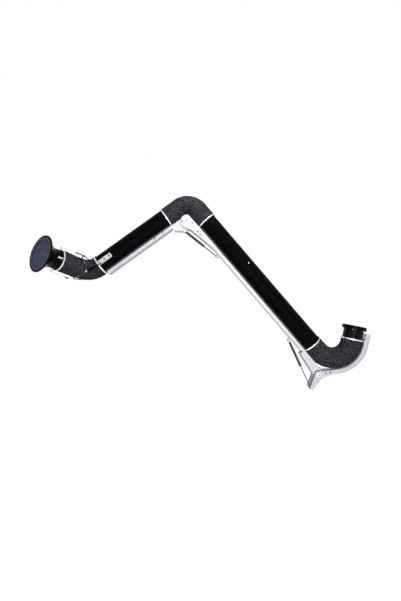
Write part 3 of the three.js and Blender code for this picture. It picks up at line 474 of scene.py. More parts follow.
def hex_head(place, start, end, radius, edge):
    """A hexagon bolt head along the layout's forward axis."""
    def ring(forward, size):
        return [place.point(forward, size * math.cos(a), size * math.sin(a)) for a in around(6)]
    inset = radius - edge
    return joined_rings([ring(start, radius), ring(end - edge, radius), ring(end, inset)], caps=True)


def sideways(place, sign):
    """The same place, with its forward axis turned out to one side."""
    return Layout(place.origin, place.near * sign, place.up)


# Shares of a screw's or bolt's own height and head radius
BUTTON_DOME = 0.45
BUTTON_HEX = 0.42
WASHER_THICKNESS = 0.25
WASHER_RADIUS = 1.35
WASHER_EDGE = 0.08
HEX_EDGE = 0.1
# Sizes of the raised hexagon on a screw's head
HEX_ROOT = 0.0002
HEX_PROUD = 0.0004
HEX_CHAMFER = 0.0001
SCREW_STEPS = 24
WASHER_STEPS = 40


def screw(place, head, height):
    """A small button-headed screw with a raised hexagon, standing on the layout's origin."""
    skin = disc(place, 0, height, head, height * BUTTON_DOME, SCREW_STEPS)
    return merge(skin, hex_head(place, height - HEX_ROOT, height + HEX_PROUD, head * BUTTON_HEX, HEX_CHAMFER))


def hex_bolt(place, head, height):
    """A hexagon bolt head on a washer."""
    washer = height * WASHER_THICKNESS
    skin = disc(place, 0, washer, head * WASHER_RADIUS, height * WASHER_EDGE, WASHER_STEPS)
    return merge(skin, hex_head(place, washer, height, head, height * HEX_EDGE))


# Tubes
TUBE_EDGE = 0.0008


def duct(name, place, start, end, body, node):
    skin = sleeve(place, start - SPIGOT, end + SPIGOT, TUBE_RADIUS - TUBE_WALL, TUBE_RADIUS, TUBE_EDGE)
    dress(name, skin, body, "black_tube", node)


duct("lower_duct", lower_axis, SHOULDER_SETBACK, LOWER_END, "lower_arm", "lower_tube")
duct("upper_duct", upper_axis, ELBOW_SETBACK, UPPER_END, "upper_arm", "upper_tube")

# Swivel base
FLANGE_RADIUS = 0.097
FLANGE_HEIGHT = 0.032
FLANGE_PLATE = 0.008
FLANGE_BORE = 0.066
FLANGE_SKIRT_INNER = 0.085
FLANGE_EDGE = 0.0018
BOLT_CIRCLE = 0.091
BOLT_COUNT = 6
FLANGE_SCREW_RADIUS = 0.0055
FLANGE_SCREW_HEIGHT = 0.004
COLLAR_TOP = 0.0148
COLLAR_LIP = 0.006
COLLAR_LIP_RADIUS = 0.084


def swivel_flange():
    profile = [
        (0, FLANGE_BORE), (0, FLANGE_RADIUS), (FLANGE_HEIGHT, FLANGE_RADIUS),
        (FLANGE_HEIGHT, FLANGE_SKIRT_INNER), (FLANGE_PLATE, FLANGE_SKIRT_INNER), (FLANGE_PLATE, FLANGE_BORE),
    ]
    skin = turned(down, rounded(profile, FLANGE_EDGE))
    dress("swivel_flange", skin, "mount", "black_plastic", "mounting_flange")


def flange_screws():
    for i in range(BOLT_COUNT):
        turn = (i + 0.5) * 2 * math.pi / BOLT_COUNT
        foot = down.moved(FLANGE_HEIGHT, BOLT_CIRCLE * math.cos(turn), BOLT_CIRCLE * math.sin(turn))
        skin = screw(foot, FLANGE_SCREW_RADIUS, FLANGE_SCREW_HEIGHT)
        dress(f"flange_screw_{i + 1}", skin, "mount", "bright_steel")


def swivel_collar():
    inner = TUBE_RADIUS - TUBE_WALL
    end = COLLAR_LENGTH + SPIGOT
    lip_end = COLLAR_TOP + COLLAR_LIP
    profile = [
        (COLLAR_TOP, inner), (COLLAR_TOP, COLLAR_LIP_RADIUS), (lip_end, COLLAR_LIP_RADIUS),
        (lip_end, TUBE_RADIUS), (end, TUBE_RADIUS), (end, inner),
    ]
    skin = turned(down, rounded(profile, TUBE_EDGE))
    dress("swivel_collar", skin, "turret", "black_tube", "base_collar", look=GLOSS)


swivel_flange()
flange_screws()
swivel_collar()

# Hose clamps with their worm screws
BAND_RADIUS = 0.0862
BAND_WALL = 0.0018
BAND_EDGE = 0.0006
HOUSING_LENGTH = 0.022
HOUSING_WIDTH = 0.0092
HOUSING_HEIGHT = 0.0064
HOUSING_EDGE = 0.0012
WORM_HEAD = 0.007
WORM_HEAD_RADIUS = 0.0042
TAIL_BACK = 0.020
TAIL_RISE = 0.0022
TAIL_LENGTH = 0.026
TAIL_WIDTH = 0.008
TAIL_THICKNESS = 0.0012
TAIL_EDGE = 0.0004


def clamp(name, place, start, body, node, turn):
    """A steel band with a screw housing at one turn around it."""
    skin = sleeve(place, start, start + CLAMP_WIDTH, BAND_RADIUS, BAND_RADIUS + BAND_WALL, BAND_EDGE)
    out = place.near * math.cos(turn) + place.up * math.sin(turn)
    along = place.forward.cross(out)
    top = place.point(start + CLAMP_WIDTH / 2) + out * (BAND_RADIUS + BAND_WALL + HOUSING_HEIGHT / 2)
    seat = Layout(top, along, place.forward)
    merge(skin, block(seat, (HOUSING_LENGTH, HOUSING_WIDTH, HOUSING_HEIGHT), HOUSING_EDGE))
    merge(skin, hex_head(seat.moved(HOUSING_LENGTH / 2), 0, WORM_HEAD, WORM_HEAD_RADIUS, BAND_EDGE))
    tail = seat.moved(-TAIL_BACK, 0, TAIL_RISE)
    merge(skin, block(tail, (TAIL_LENGTH, TAIL_WIDTH, TAIL_THICKNESS), TAIL_EDGE))
    dress(name, skin, body, "bright_steel", node)


AWAY = math.radians(150)
clamp("collar_band", down, COLLAR_LENGTH + CLAMP_INSET, "turret", "collar_clamp", AWAY)
clamp("lower_rear_band", lower_axis, SHOULDER_SETBACK - CLAMP_INSET - CLAMP_WIDTH, "lower_arm",
      "lower_tube_rear_clamp", AWAY)
clamp("lower_front_band", lower_axis, LOWER_END + CLAMP_INSET, "lower_arm", "lower_tube_front_clamp", AWAY)
clamp("upper_rear_band", upper_axis, ELBOW_SETBACK - CLAMP_INSET - CLAMP_WIDTH, "upper_arm",
      "upper_tube_rear_clamp", AWAY)
clamp("upper_front_band", upper_axis, UPPER_END + CLAMP_INSET, "upper_arm", "upper_tube_front_clamp", AWAY)
clamp("neck_band", hood, NECK_FORWARD - CLAMP_INSET - CLAMP_WIDTH, "hood", "hood_neck_clamp", AWAY)

# Swept shapes
BOX_CORNER_STEPS = 4


def rounded_box(half_near, half_out, corner):
    """Section points of a rectangle with round corners, as pairs of near and out."""
    points = []
    for turn, sign_near, sign_out in ((0, 1, 1), (1, -1, 1), (2, -1, -1), (3, 1, -1)):
        for i in range(BOX_CORNER_STEPS + 1):
            angle = math.pi / 2 * (turn + i / BOX_CORNER_STEPS)
            near = sign_near * (half_near - corner) + corner * math.cos(angle)
            points.append((near, sign_out * (half_out - corner) + corner * math.sin(angle)))
    return points


def section(place, corners):
    """Places section points across a layout's forward axis."""
    return [place.point(0, near, up) for near, up in corners]


def bent_path(start, end, radius, step):
    """Layouts along two straight runs with a round bend between them, all in the arm's plane."""
    turn = start.forward.angle(end.forward)
    inward = (end.forward - start.forward * start.forward.dot(end.forward)).normalized()
    gap = end.origin - start.origin
    corner = end.origin - end.forward * (gap.dot(inward) / end.forward.dot(inward))
    tangent = radius * math.tan(turn / 2)
    first = (corner - start.origin).length - tangent
    second = (end.origin - corner).length - tangent
    centre = start.point(first) + inward * radius
    total = first + radius * turn + second
    count = round(total / step)
    path = []
    for i in range(count + 1):
        run = total * i / count
        angle = min(max((run - first) / radius, 0), turn)
        way = start.forward * math.cos(angle) + inward * math.sin(angle)
        on_bend = centre + (start.forward * math.sin(angle) - inward * math.cos(angle)) * radius
        straight = min(run - first, 0) + max(run - first - radius * turn, 0)
        path.append((run, Layout(on_bend + way * straight, way, start.near)))
    return path


# Ribbed fabric hoses
HOSE_STEP = 0.0016
HOSE_SIDES = 112
HOSE_BORE = 0.0803
HOSE_CUFF = 0.0855
HOSE_VALLEY = 0.0842
RIB_HEIGHT = 0.0034
RIB_PITCH = 0.0098
CUFF_LENGTH = 0.026
CUFF_BLEND = 0.008
RIB_SHARPNESS = 1.4
WRINKLE = 0.0022
WRINKLE_SCALE = 26
WRINKLE_FLOOR = -0.35
CREASE = 0.0012
CREASE_SCALE = 95
CUFF_RIDGE = 0.0022
RIDGE_AT = 0.022
RIDGE_WIDTH = 0.0018
BORE_EVERY = 6
BASE_BLEND_FROM = 0.090
BASE_BLEND_TO = 0.280
ELBOW_BLEND_BEFORE = 0.106
ELBOW_BLEND_AFTER = 0.114


def hose_radius(run, total, place, out):
    """Ribs and wrinkles of the hose's skin, flat under the clamps."""
    free = min(run, total - run) - CUFF_LENGTH
    loose = min(max(free / CUFF_BLEND, 0), 1)
    rib = (0.5 + 0.5 * math.cos(2 * math.pi * run / RIB_PITCH)) ** RIB_SHARPNESS
    where = place.origin + out * HOSE_VALLEY
    wrinkle = max(noise.noise(where * WRINKLE_SCALE), WRINKLE_FLOOR) * WRINKLE
    crease = noise.noise(where * CREASE_SCALE) * CREASE
    ridge = CUFF_RIDGE * math.exp(-((min(run, total - run) - RIDGE_AT) / RIDGE_WIDTH) ** 2)
    return HOSE_CUFF + ridge + (HOSE_VALLEY - HOSE_CUFF + RIB_HEIGHT * rib + wrinkle + crease) * loose


def hose_skin(path, total):
    """The ribbed outside of a hose and its plain bore, which has fewer rings."""
    rings = []
    for run, place in path:
        ring = []
        for angle in around(HOSE_SIDES):
            out = place.near * math.cos(angle) + place.up * math.sin(angle)
            ring.append(place.origin + out * hose_radius(run, total, place, out))
        rings.append(ring)
    inside = [(HOSE_BORE * math.cos(a), HOSE_BORE * math.sin(a)) for a in around(HOSE_SIDES)]
    coarse = path[::BORE_EVERY]
    if len(path) % BORE_EVERY != 1:
        coarse.append(path[-1])
    rings += [section(place, inside) for _, place in reversed(coarse)]
    return joined_rings(rings, loop=True)


def hose(name, path, total, start, end, node):
    """A hose along a bent path between two bodies, fixed where it is made; its start and end points are not used.
    """
    made = piece(name, finished(name, hose_skin(path, total)), LOOKS["hose_fabric"])
    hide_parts(node)
    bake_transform(made)


collar_mouth = down.moved(COLLAR_LENGTH)
lower_rear = lower_axis.moved(SHOULDER_SETBACK)
lower_front = lower_axis.moved(LOWER_END)
upper_rear = upper_axis.moved(ELBOW_SETBACK)
upper_front = upper_axis.moved(UPPER_END)
neck = hood.moved(NECK_FORWARD)

base_path = bent_path(collar_mouth, lower_rear, BASE_BEND_RADIUS, HOSE_STEP)
hose("base_ribbed_hose", base_path, base_path[-1][0],
     base.point(BASE_BLEND_FROM), base.point(BASE_BLEND_TO), "base_hose")
elbow_path = bent_path(lower_front, upper_rear, ELBOW_BEND_RADIUS, HOSE_STEP)
hose("elbow_ribbed_hose", elbow_path, elbow_path[-1][0],
     base.point(-elbow_at.x - ELBOW_BLEND_BEFORE), base.point(-elbow_at.x + ELBOW_BLEND_AFTER), "elbow_hose")


def cubic(a, b, c, d, t):
    """A point on a cubic curve with four handles."""
    return a * (1 - t) ** 3 + b * 3 * t * (1 - t) ** 2 + c * 3 * t * t * (1 - t) + d * t ** 3


def cubic_way(a, b, c, d, t):
    """The direction of that curve, not yet of unit length."""
    return (b - a) * (1 - t) ** 2 + (c - b) * 2 * t * (1 - t) + (d - c) * t * t


def upright(at, way):
    """A layout along a way, with its near side as close to the arm's near side as it can be."""
    return Layout(at, way, (NEAR - way * NEAR.dot(way)).normalized())


HOOD_PATH_STEPS = 400


def hood_path():
    """Layouts along the hose from the upper tube to the hood's neck, with their runs."""
    start, end = upper_front.moved(CUFF_LENGTH), neck.moved(-CUFF_LENGTH)
    handles = (start.origin, start.point(HOOD_HOSE_HANDLE), end.point(-HOOD_HOSE_HANDLE), end.origin)
    cuff_steps = round(CUFF_LENGTH / HOSE_STEP)
    path, run = [], 0.0
    for i in range(cuff_steps):
        run = CUFF_LENGTH * i / cuff_steps
        path.append((run, upright(upper_front.point(run), upper_front.forward)))
    run, since, last = CUFF_LENGTH, HOSE_STEP, start.origin
    for i in range(HOOD_PATH_STEPS + 1):
        at = cubic(*handles, i / HOOD_PATH_STEPS)
        way = cubic_way(*handles, i / HOOD_PATH_STEPS).normalized()
        gone = (at - last).length
        run, since, last = run + gone, since + gone, at
        if since >= HOSE_STEP or i == HOOD_PATH_STEPS:
            path.append((run, upright(at, way)))
            since = 0.0
    bend_end = run
    for i in range(1, cuff_steps + 1):
        run = bend_end + CUFF_LENGTH * i / cuff_steps
        path.append((run, upright(end.point(run - bend_end), neck.forward)))
    return path


hood_runs = hood_path()
hood_total = hood_runs[-1][0]
middle = min(range(len(hood_runs)), key=lambda i: abs(hood_runs[i][0] - hood_total / 2))
split = hood_runs[middle][1]


def split_mark(place, sign):
    """The point on the split's own axis where a hose end's whole cuff ring has passed."""
    reach = (place.origin - split.origin).dot(split.forward)
    tilt = math.sqrt(max(1 - place.forward.dot(split.forward) ** 2, 0))
    return split.point(reach + sign * HOSE_CUFF * tilt)


hose("hood_ribbed_hose_rear", hood_runs[:middle + 1], hood_total,
     split_mark(upper_front.moved(CUFF_LENGTH), 1), split.origin, "hood_hose_rear")
hose("hood_ribbed_hose_front", hood_runs[middle:], hood_total,
     split.origin, split_mark(neck.moved(-CUFF_LENGTH), -1), "hood_hose_front")

# Curved bracket behind the base hose
BRACKET_CORNER = 0.006
BRACKET_WALL = 0.004
BRACKET_STEPS = 60
SADDLE_HALF_WIDTH = 0.026
SADDLE_HEIGHT = 0.044
SADDLE_EDGE = 0.0015


def bend_top():
    """The height at which the base hose's bend starts."""
    end = lower_rear.origin
    corner = end.z + end.x * math.tan(LOWER_RISE)
    return corner + BASE_BEND_RADIUS * math.tan((math.pi / 2 + LOWER_RISE) / 2)


BEND_TOP = bend_top()
bend_centre = base.moved(BASE_BEND_RADIUS, 0, BEND_TOP)
BRACKET_RADIUS = BASE_BEND_RADIUS + C_BRACKET_REACH


def on_bracket(turn, radius=BRACKET_RADIUS):
    """A layout on the bracket's arc, its forward axis running down the arc."""
    at = bend_centre.point(-radius * math.cos(turn), 0, -radius * math.sin(turn))
    return Layout(at, FORWARD * math.sin(turn) - UP * math.cos(turn))


def bracket_path():
    """Layouts down the straight top of the bracket and round its arc."""
    straight = C_BRACKET_TOP - BEND_TOP
    total = straight + BRACKET_RADIUS * C_BRACKET_TURN
    path = []
    for i in range(BRACKET_STEPS + 1):
        run = total * i / BRACKET_STEPS - straight
        place = on_bracket(max(run, 0) / BRACKET_RADIUS)
        path.append(place.moved(min(run, 0)))
    return path


def curved_bracket():
    """A hollow curved bar with a saddle on the collar."""
    path = bracket_path()
    half = C_BRACKET_THICKNESS / 2
    outer = rounded_box(CHANNEL_HALF_WIDTH, half, BRACKET_CORNER)
    inner = rounded_box(CHANNEL_HALF_WIDTH - BRACKET_WALL, half - BRACKET_WALL, BRACKET_CORNER / 2)
    rings = [section(place, outer) for place in path]
    rings += [section(place, inner) for place in reversed(path)]
    skin = joined_rings(rings, loop=True)
    reach = C_BRACKET_REACH - half - TUBE_RADIUS
    seat = base.moved(-TUBE_RADIUS - reach / 2, 0, C_BRACKET_TOP - CLAMP_INSET - SADDLE_HEIGHT / 2)
    merge(skin, block(seat, (reach, 2 * SADDLE_HALF_WIDTH, SADDLE_HEIGHT), SADDLE_EDGE))
    dress("curved_bracket", skin, "turret", "bracket_aluminium", "c_bracket")


curved_bracket()

# Pivot bolts and small screws
BOLT_SEAT = 0.0518
PIVOT_BOLT_RADIUS = 0.0095
PIVOT_HEAD_RADIUS = 0.01353
PIVOT_HEAD = 0.0085
CENTRE_RADIUS = 0.0055
CENTRE_PROUD = 0.0006
CENTRE_ROOT = 0.001
CENTRE_EDGE = 0.0002
SHANK_EDGE = 0.0004
PLATE_FACE = 0.0514
SCREW_RADIUS = 0.0062
SCREW_HEIGHT = 0.004


def bolt_centres(name, place, face, look, body):
    """The round ends of a bolt's shank, just proud of its heads."""
    skin = bmesh.new()
    for _, sign in SIDES:
        seat = sideways(place, sign).moved(face)
        merge(skin, disc(seat, -CENTRE_ROOT, CENTRE_PROUD, CENTRE_RADIUS, CENTRE_EDGE, PIN_STEPS))
    dress(name, skin, body, "bright_steel", look=look)


def pivot_bolt(name, place, body, node):
    """A shank across the arm with a hexagon head on each side."""
    skin = disc(sideways(place, 1).moved(-BOLT_SEAT), 0, 2 * BOLT_SEAT, PIVOT_BOLT_RADIUS, SHANK_EDGE)
    for _, sign in SIDES:
        merge(skin, hex_bolt(sideways(place, sign).moved(BOLT_SEAT), PIVOT_HEAD_RADIUS, PIVOT_HEAD))
    dress(name, skin, body, "bright_steel", node)
    bolt_centres(f"{name}_centres", place, BOLT_SEAT + PIVOT_HEAD, ZINC, body)


def side_screws(name, place, face, spots, body, head=SCREW_RADIUS, height=SCREW_HEIGHT):
    """Screws standing on both sides of the arm at pairs of forward and up."""
    for side, sign in SIDES:
        skin = bmesh.new()
        for forward, up in spots:
            seat = place.moved(forward, 0, up)
            merge(skin, screw(sideways(seat, sign).moved(face), head, height))
        dress(f"{name}_{side}", skin, body, "bright_steel", look=ZINC)


RIVET_FORWARD = 1.096
RIVET_TURN = math.radians(22)
RIVET_RADIUS = 0.006
RIVET_HEIGHT = 0.003
RIVET_ROOT = 0.001
RIVET_DOME = 0.0026


def tube_rivet():
    """A dome-headed rivet on the lower tube's near side."""
    out = lower_axis.near * math.cos(RIVET_TURN) + lower_axis.up * math.sin(RIVET_TURN)
    seat = Layout(lower_axis.point(RIVET_FORWARD) + out * TUBE_RADIUS, out, lower_axis.forward)
    skin = disc(seat, -RIVET_ROOT, RIVET_HEIGHT, RIVET_RADIUS, RIVET_DOME, PIN_STEPS)
    dress("tube_rivet", skin, "lower_arm", "bright_steel")


CHANNEL_TOP = 0.0616
PLATE_RISE = 0.046
CHANNEL_INSET = 0.008
SEAL_THICKNESS = 0.0012
SEAL_GAP = 0.0006
SEAL_EDGE = 0.0004


def channel_seals(name, place, start, end, body):
    """A dark strip on each side of a channel, between its plates and the tube."""
    sizes = (end - start, SEAL_THICKNESS, CHANNEL_TOP - PLATE_RISE - 2 * SEAL_GAP)
    for side, sign in SIDES:
        near = sign * (CHANNEL_HALF_WIDTH + SEAL_THICKNESS / 2)
        centre = place.moved((start + end) / 2, near, (CHANNEL_TOP + PLATE_RISE) / 2)
        dress(f"{name}_seal_{side}", block(centre, sizes, SEAL_EDGE), body, "black_plastic", look=SEAL)


LEVER_FORWARD = 0.036
LEVER_DROP = 0.120
LEVER_AT = shoulder_at + FORWARD * LEVER_FORWARD - UP * LEVER_DROP
CHEEK_EYE_RADIUS = 0.034
LEVER_EYE_RADIUS = 0.015
CHEEK_MIDDLE = 0.0484
CHEEK_HALF = 0.003
# Sizes and path of a dark strip along the near cheek's front edge, which stands in for the shade there: painted
# shade
SHADE_STRIP_HALF = 0.003
SHADE_STRIP_CORNER = 0.0005
SHADE_STRIP_EYE_STEPS = 28
SHADE_STRIP_EYE_FROM = 95
SHADE_STRIP_EYE_SWEEP = -104
SHADE_STRIP_LEVER_STEPS = 14
SHADE_STRIP_LEVER_FROM = 6
SHADE_STRIP_LEVER_SWEEP = -40


def arc_points(centre, radius, start, sweep, steps):
    """Points on an arc in the arm's plane, from a turn in degrees and over a sweep."""
    points = []
    for i in range(steps + 1):
        turn = math.radians(start + sweep * i / steps)
        points.append(centre + (FORWARD * math.cos(turn) + UP * math.sin(turn)) * radius)
    return points


def shade_strip_path():
    """Points round the pivot eye's front and down to the spring lever's eye."""
    eye = arc_points(shoulder_at, CHEEK_EYE_RADIUS + SHADE_STRIP_HALF, SHADE_STRIP_EYE_FROM, SHADE_STRIP_EYE_SWEEP, SHADE_STRIP_EYE_STEPS)
    reach = LEVER_EYE_RADIUS + SHADE_STRIP_HALF
    return eye + arc_points(LEVER_AT, reach, SHADE_STRIP_LEVER_FROM, SHADE_STRIP_LEVER_SWEEP, SHADE_STRIP_LEVER_STEPS)


def cheek_shade_strip():
    """A dark strip on the front edge of the near cheek, which stands in for the shade along that edge: painted
    shade.
    """
    points = [at + NEAR * CHEEK_MIDDLE for at in shade_strip_path()]
    last = len(points) - 1
    ways = [points[min(i + 1, last)] - points[max(i - 1, 0)] for i in range(len(points))]
    shape = rounded_box(CHEEK_HALF, SHADE_STRIP_HALF, SHADE_STRIP_CORNER)
    rings = [section(Layout(at, way), shape) for at, way in zip(points, ways)]
    dress("cheek_shade_strip", joined_rings(rings, caps=True), "turret", "spring_black")


tube_rivet()
channel_seals("lower", lower, SHOULDER_SETBACK + CHANNEL_INSET, LOWER_END - CHANNEL_INSET, "lower_arm")
channel_seals("upper", upper, ELBOW_SETBACK + CHANNEL_INSET, UPPER_END - CHANNEL_INSET, "upper_arm")
cheek_shade_strip()
pivot_bolt("shoulder_hex_bolt", lower, "turret", "shoulder_pivot_bolt")
pivot_bolt("elbow_hex_bolt", upper, "lower_arm", "elbow_pivot_bolt")

# Where the plates' screws stand, as pairs of forward and up
ELBOW_PLATE_SPOTS = [(0.215, 0.041), (0.300, 0.041)]
CHEEK_SPOTS = [(0.197, -0.419), (0.179, -0.438), (0.144, -0.423)]
FORK_PLATE_SPOTS = [(-0.126, 0.0106), (-0.159, 0.0096)]
FORK_RIM_SPOTS = [(-0.040, 0.026), (0.026, -0.032)]
side_screws("elbow_plate_screws", upper, PLATE_FACE, ELBOW_PLATE_SPOTS, "upper_arm")
side_screws("cheek_screws", base, PLATE_FACE, CHEEK_SPOTS, "turret")
side_screws("fork_plate_screws", lower_elbow, PLATE_FACE, FORK_PLATE_SPOTS, "lower_arm")
side_screws("fork_rim_screws", lower_elbow, PLATE_FACE, FORK_RIM_SPOTS, "lower_arm")

# Screws and tilt bolts of the hood's links
FIT = 0.0004
link = frame["nodes"]["hood_link_near"]
link_nears = [NEAR.dot(link.matrix_world @ Vector(corner)) for corner in link.bound_box]
LINK_FROM, LINK_TO = min(link_nears), max(link_nears)
YOKE_THICKNESS = 0.007
YOKE_EYE_PROUD = 0.002
YOKE_EYE_INNER = LINK_TO + FIT
YOKE_EYE_OUTER = YOKE_EYE_INNER + YOKE_EYE_PROUD + YOKE_THICKNESS
YOKE_HALF_WIDTH = YOKE_EYE_OUTER - YOKE_THICKNESS / 2
TILT_SHANK_RADIUS = 0.0069
TILT_SHANK_PROUD = 0.001
TILT_HEAD_RADIUS = 0.008625
TILT_HEAD = 0.0070
LINK_PLATE_SPOTS = [(-0.108, 0), (-0.060, 0)]
LINK_PLATE_SCREW = 0.0085
LINK_PLATE_SCREW_HEIGHT = 0.005
LINK_SPOTS = [(-0.019, 0)]
LINK_SCREW = 0.0058
LINK_SCREW_HEIGHT = 0.0035
side_screws("link_plate_screws", upper_front, LINK_FROM - FIT, LINK_PLATE_SPOTS, "upper_arm",
            LINK_PLATE_SCREW, LINK_PLATE_SCREW_HEIGHT)
side_screws("link_screws", upper_front, LINK_TO, LINK_SPOTS, "upper_arm", LINK_SCREW, LINK_SCREW_HEIGHT)


def tilt_bolts():
    """Dark bolts through the yoke's eyes, with bright shank ends."""
    for side, sign in SIDES:
        place = sideways(yoke, sign)
        end = YOKE_EYE_OUTER + TILT_SHANK_PROUD
        skin = disc(place, LINK_FROM, end, TILT_SHANK_RADIUS, SHANK_EDGE, PIN_STEPS)
        merge(skin, hex_bolt(place.moved(YOKE_EYE_OUTER), TILT_HEAD_RADIUS, TILT_HEAD))
        dress(f"tilt_bolt_{side}", skin, "yoke", "bright_steel", f"hood_tilt_bolt_{side}", look=ZINC)
    bolt_centres("tilt_bolt_centres", yoke, YOKE_EYE_OUTER + TILT_HEAD, LOOKS["bright_steel"], "yoke")


tilt_bolts()

# Arched yoke around the hood hose
YOKE_STRIP = 0.010
YOKE_CORNER = 0.0022
YOKE_STEPS = 160
YOKE_EYE_RADIUS = 0.015
YOKE_EDGE = 0.0012
YOKE_SWEEP = 1.5
STUD_RADIUS = 0.005
STUD_RISE = 0.0083
STUD_TOP = YOKE_HALF_HEIGHT + STUD_RISE
TILT_HOLE = 0.0074
SMALL_TURN = 1e-3


def squared(value):
    """Pushes a sine or cosine out, which makes a round arch squarer."""
    return math.copysign(math.sqrt(abs(value)), value)


def yoke_point(angle):
    """A point of the arch, which reaches furthest forward at its top and bottom."""
    up = squared(math.sin(angle))
    forward = YOKE_REACH * abs(up) ** YOKE_SWEEP
    return yoke.point(forward, YOKE_HALF_WIDTH * squared(math.cos(angle)), YOKE_HALF_HEIGHT * up)


def yoke_section(angle):
    """The strip's section at one point of the arch, flat towards the hose."""
    at = yoke_point(angle)
    way = (yoke_point(angle + SMALL_TURN) - yoke_point(angle - SMALL_TURN)).normalized()
    out = at - yoke.origin
    out -= yoke.forward * out.dot(yoke.forward)
    out = (out - way * out.dot(way)).normalized()
    side = way.cross(out)
    strip = rounded_box(YOKE_STRIP / 2, YOKE_THICKNESS / 2, YOKE_CORNER)
    return [at + side * a + out * b for a, b in strip]


def arched_yoke():
    """A closed arch with an eye on each side and a stud at its top and bottom."""
    rings = [yoke_section(2 * math.pi * (i + 0.5) / YOKE_STEPS) for i in range(YOKE_STEPS)]
    skin = joined_rings(rings, loop=True)
    for _, sign in SIDES:
        eye = sideways(yoke, sign)
        merge(skin, sleeve(eye, YOKE_EYE_INNER, YOKE_EYE_OUTER, TILT_HOLE, YOKE_EYE_RADIUS, YOKE_EDGE))
        crown = Layout(yoke.point(YOKE_REACH), yoke.up * sign, yoke.near)
        merge(skin, disc(crown, YOKE_HALF_HEIGHT, STUD_TOP, STUD_RADIUS, YOKE_EDGE, PIN_STEPS))
    dress("arched_yoke", skin, "yoke", "spring_black", "hood_yoke")


arched_yoke()

# Gas springs
SPRING_EYE_RADIUS = 0.012
SPRING_EYE_HALF_WIDTH = 0.008
SPRING_PIN = 0.0054
SPRING_BARREL_RADIUS = 0.011
SPRING_ROD_RADIUS = 0.005
SPRING_SLIDE = 0.0056
SPRING_NECK = 0.024
SPRING_FLOOR = 0.010
SPRING_OVERLAP = 0.001
SPRING_EYE_EDGE = 0.0014
BARREL_EDGE = 0.0015
ROD_INSIDE = 0.090
ROD_COLLAR_RADIUS = SPRING_ROD_RADIUS + 0.0025
ROD_COLLAR_EDGE = 0.0008
SHOULDER_BARREL = 0.220
ELBOW_BARREL = 0.184
ELBOW_LEVER_FORWARD = 0.059
ELBOW_LEVER_DROP = 0.052
ELBOW_LEVER_AT = upper.point(ELBOW_LEVER_FORWARD, 0, -ELBOW_LEVER_DROP)


def spring_eye(place):
    width = SPRING_EYE_HALF_WIDTH
    return sleeve(sideways(place, 1), -width, width, SPRING_PIN, SPRING_EYE_RADIUS, SPRING_EYE_EDGE)


def gas_spring(name, barrel_at, rod_at, barrel_length):
    """A black barrel with a bored mouth and a steel rod, each with its own eye."""
    place = Layout(barrel_at, rod_at - barrel_at)
    total = (rod_at - barrel_at).length
    mouth = SPRING_NECK + barrel_length
    overlap = SPRING_OVERLAP
    neck_start = SPRING_EYE_RADIUS - overlap
    floor_end = SPRING_NECK + SPRING_FLOOR
    tube_start = SPRING_NECK + overlap
    barrel = disc(place, neck_start, tube_start, SPRING_ROD_RADIUS + overlap, SHANK_EDGE)
    merge(barrel, disc(place, SPRING_NECK, floor_end, SPRING_BARREL_RADIUS - overlap, SHANK_EDGE))
    merge(barrel, sleeve(place, tube_start, mouth, SPRING_SLIDE, SPRING_BARREL_RADIUS, BARREL_EDGE))
    merge(barrel, spring_eye(place))
    barrel_body = f"{name}_spring_barrel"
    dress(f"{name}_barrel", barrel, barrel_body, "spring_black", barrel_body)
    rod = disc(place, mouth - ROD_INSIDE, total - neck_start, SPRING_ROD_RADIUS, SHANK_EDGE)
    merge(rod, disc(place, total - SPRING_NECK, total - neck_start, ROD_COLLAR_RADIUS, ROD_COLLAR_EDGE))
    merge(rod, spring_eye(place.moved(total)))
    rod_body = f"{name}_spring_rod"
    dress(f"{name}_rod", rod, rod_body, "bright_steel", rod_body, look=CHROME)


gas_spring("shoulder", joint_point("shoulder_spring_swing"), LEVER_AT, SHOULDER_BARREL)
gas_spring("elbow", ELBOW_LEVER_AT, joint_point("elbow_spring_swing"), ELBOW_BARREL)

# Hood shell, guard and knob
FLARE_FROM = NECK_FORWARD + NECK_LENGTH
FLARE_TO = MOUTH_FORWARD - RIM_BEAD
FLARE_POWER = 1.9
FLARE_STEPS = 28
LIP_STEPS = 10
LIP_FROM = -120
LIP_SWEEP = 210


def flare_radius(forward):
    share = max(forward - FLARE_FROM, 0) / (FLARE_TO - FLARE_FROM)
    return TUBE_RADIUS + (RIM_RADIUS - RIM_BEAD / 2 - TUBE_RADIUS) * share ** FLARE_POWER


def hood_bell():
    """A straight neck, a smooth flare and a rolled rim with a lip turned in."""
    steps = [FLARE_FROM + (FLARE_TO - FLARE_FROM) * i / FLARE_STEPS for i in range(FLARE_STEPS + 1)]
    outside = [(NECK_FORWARD - SPIGOT, TUBE_RADIUS)] + [(x, flare_radius(x)) for x in steps]
    inside = [(x, r - HOOD_WALL) for x, r in reversed(outside)]
    lip = []
    bead = RIM_BEAD / 2
    for i in range(LIP_STEPS + 1):
        turn = math.radians(LIP_FROM + LIP_SWEEP * i / LIP_STEPS)
        lip.append((MOUTH_FORWARD - bead + bead * math.sin(turn), RIM_RADIUS - bead + bead * math.cos(turn)))
    lip_back = MOUTH_FORWARD - LIP_THICKNESS
    lip += [(MOUTH_FORWARD, LIP_RADIUS), (lip_back, LIP_RADIUS), (lip_back, RIM_RADIUS - RIM_BEAD)]
    dress("hood_bell", turned(hood, outside + lip + inside), "hood", "black_plastic", "hood_shell")


WIRE_RADIUS = 0.0009
WIRE_PITCH = 0.0065
WIRE_SIDES = 6
WIRE_STEPS_PER_PITCH = 4
GUARD_SINK = 0.0106
GUARD_CLEARANCE = 0.0012
GUARD_FORWARD = MOUTH_FORWARD - GUARD_SINK
GUARD_RADIUS = flare_radius(GUARD_FORWARD) - HOOD_WALL - GUARD_CLEARANCE
RING_WIDTH = 0.0045
RING_SINK = 0.0004
RING_EDGE = 0.0006


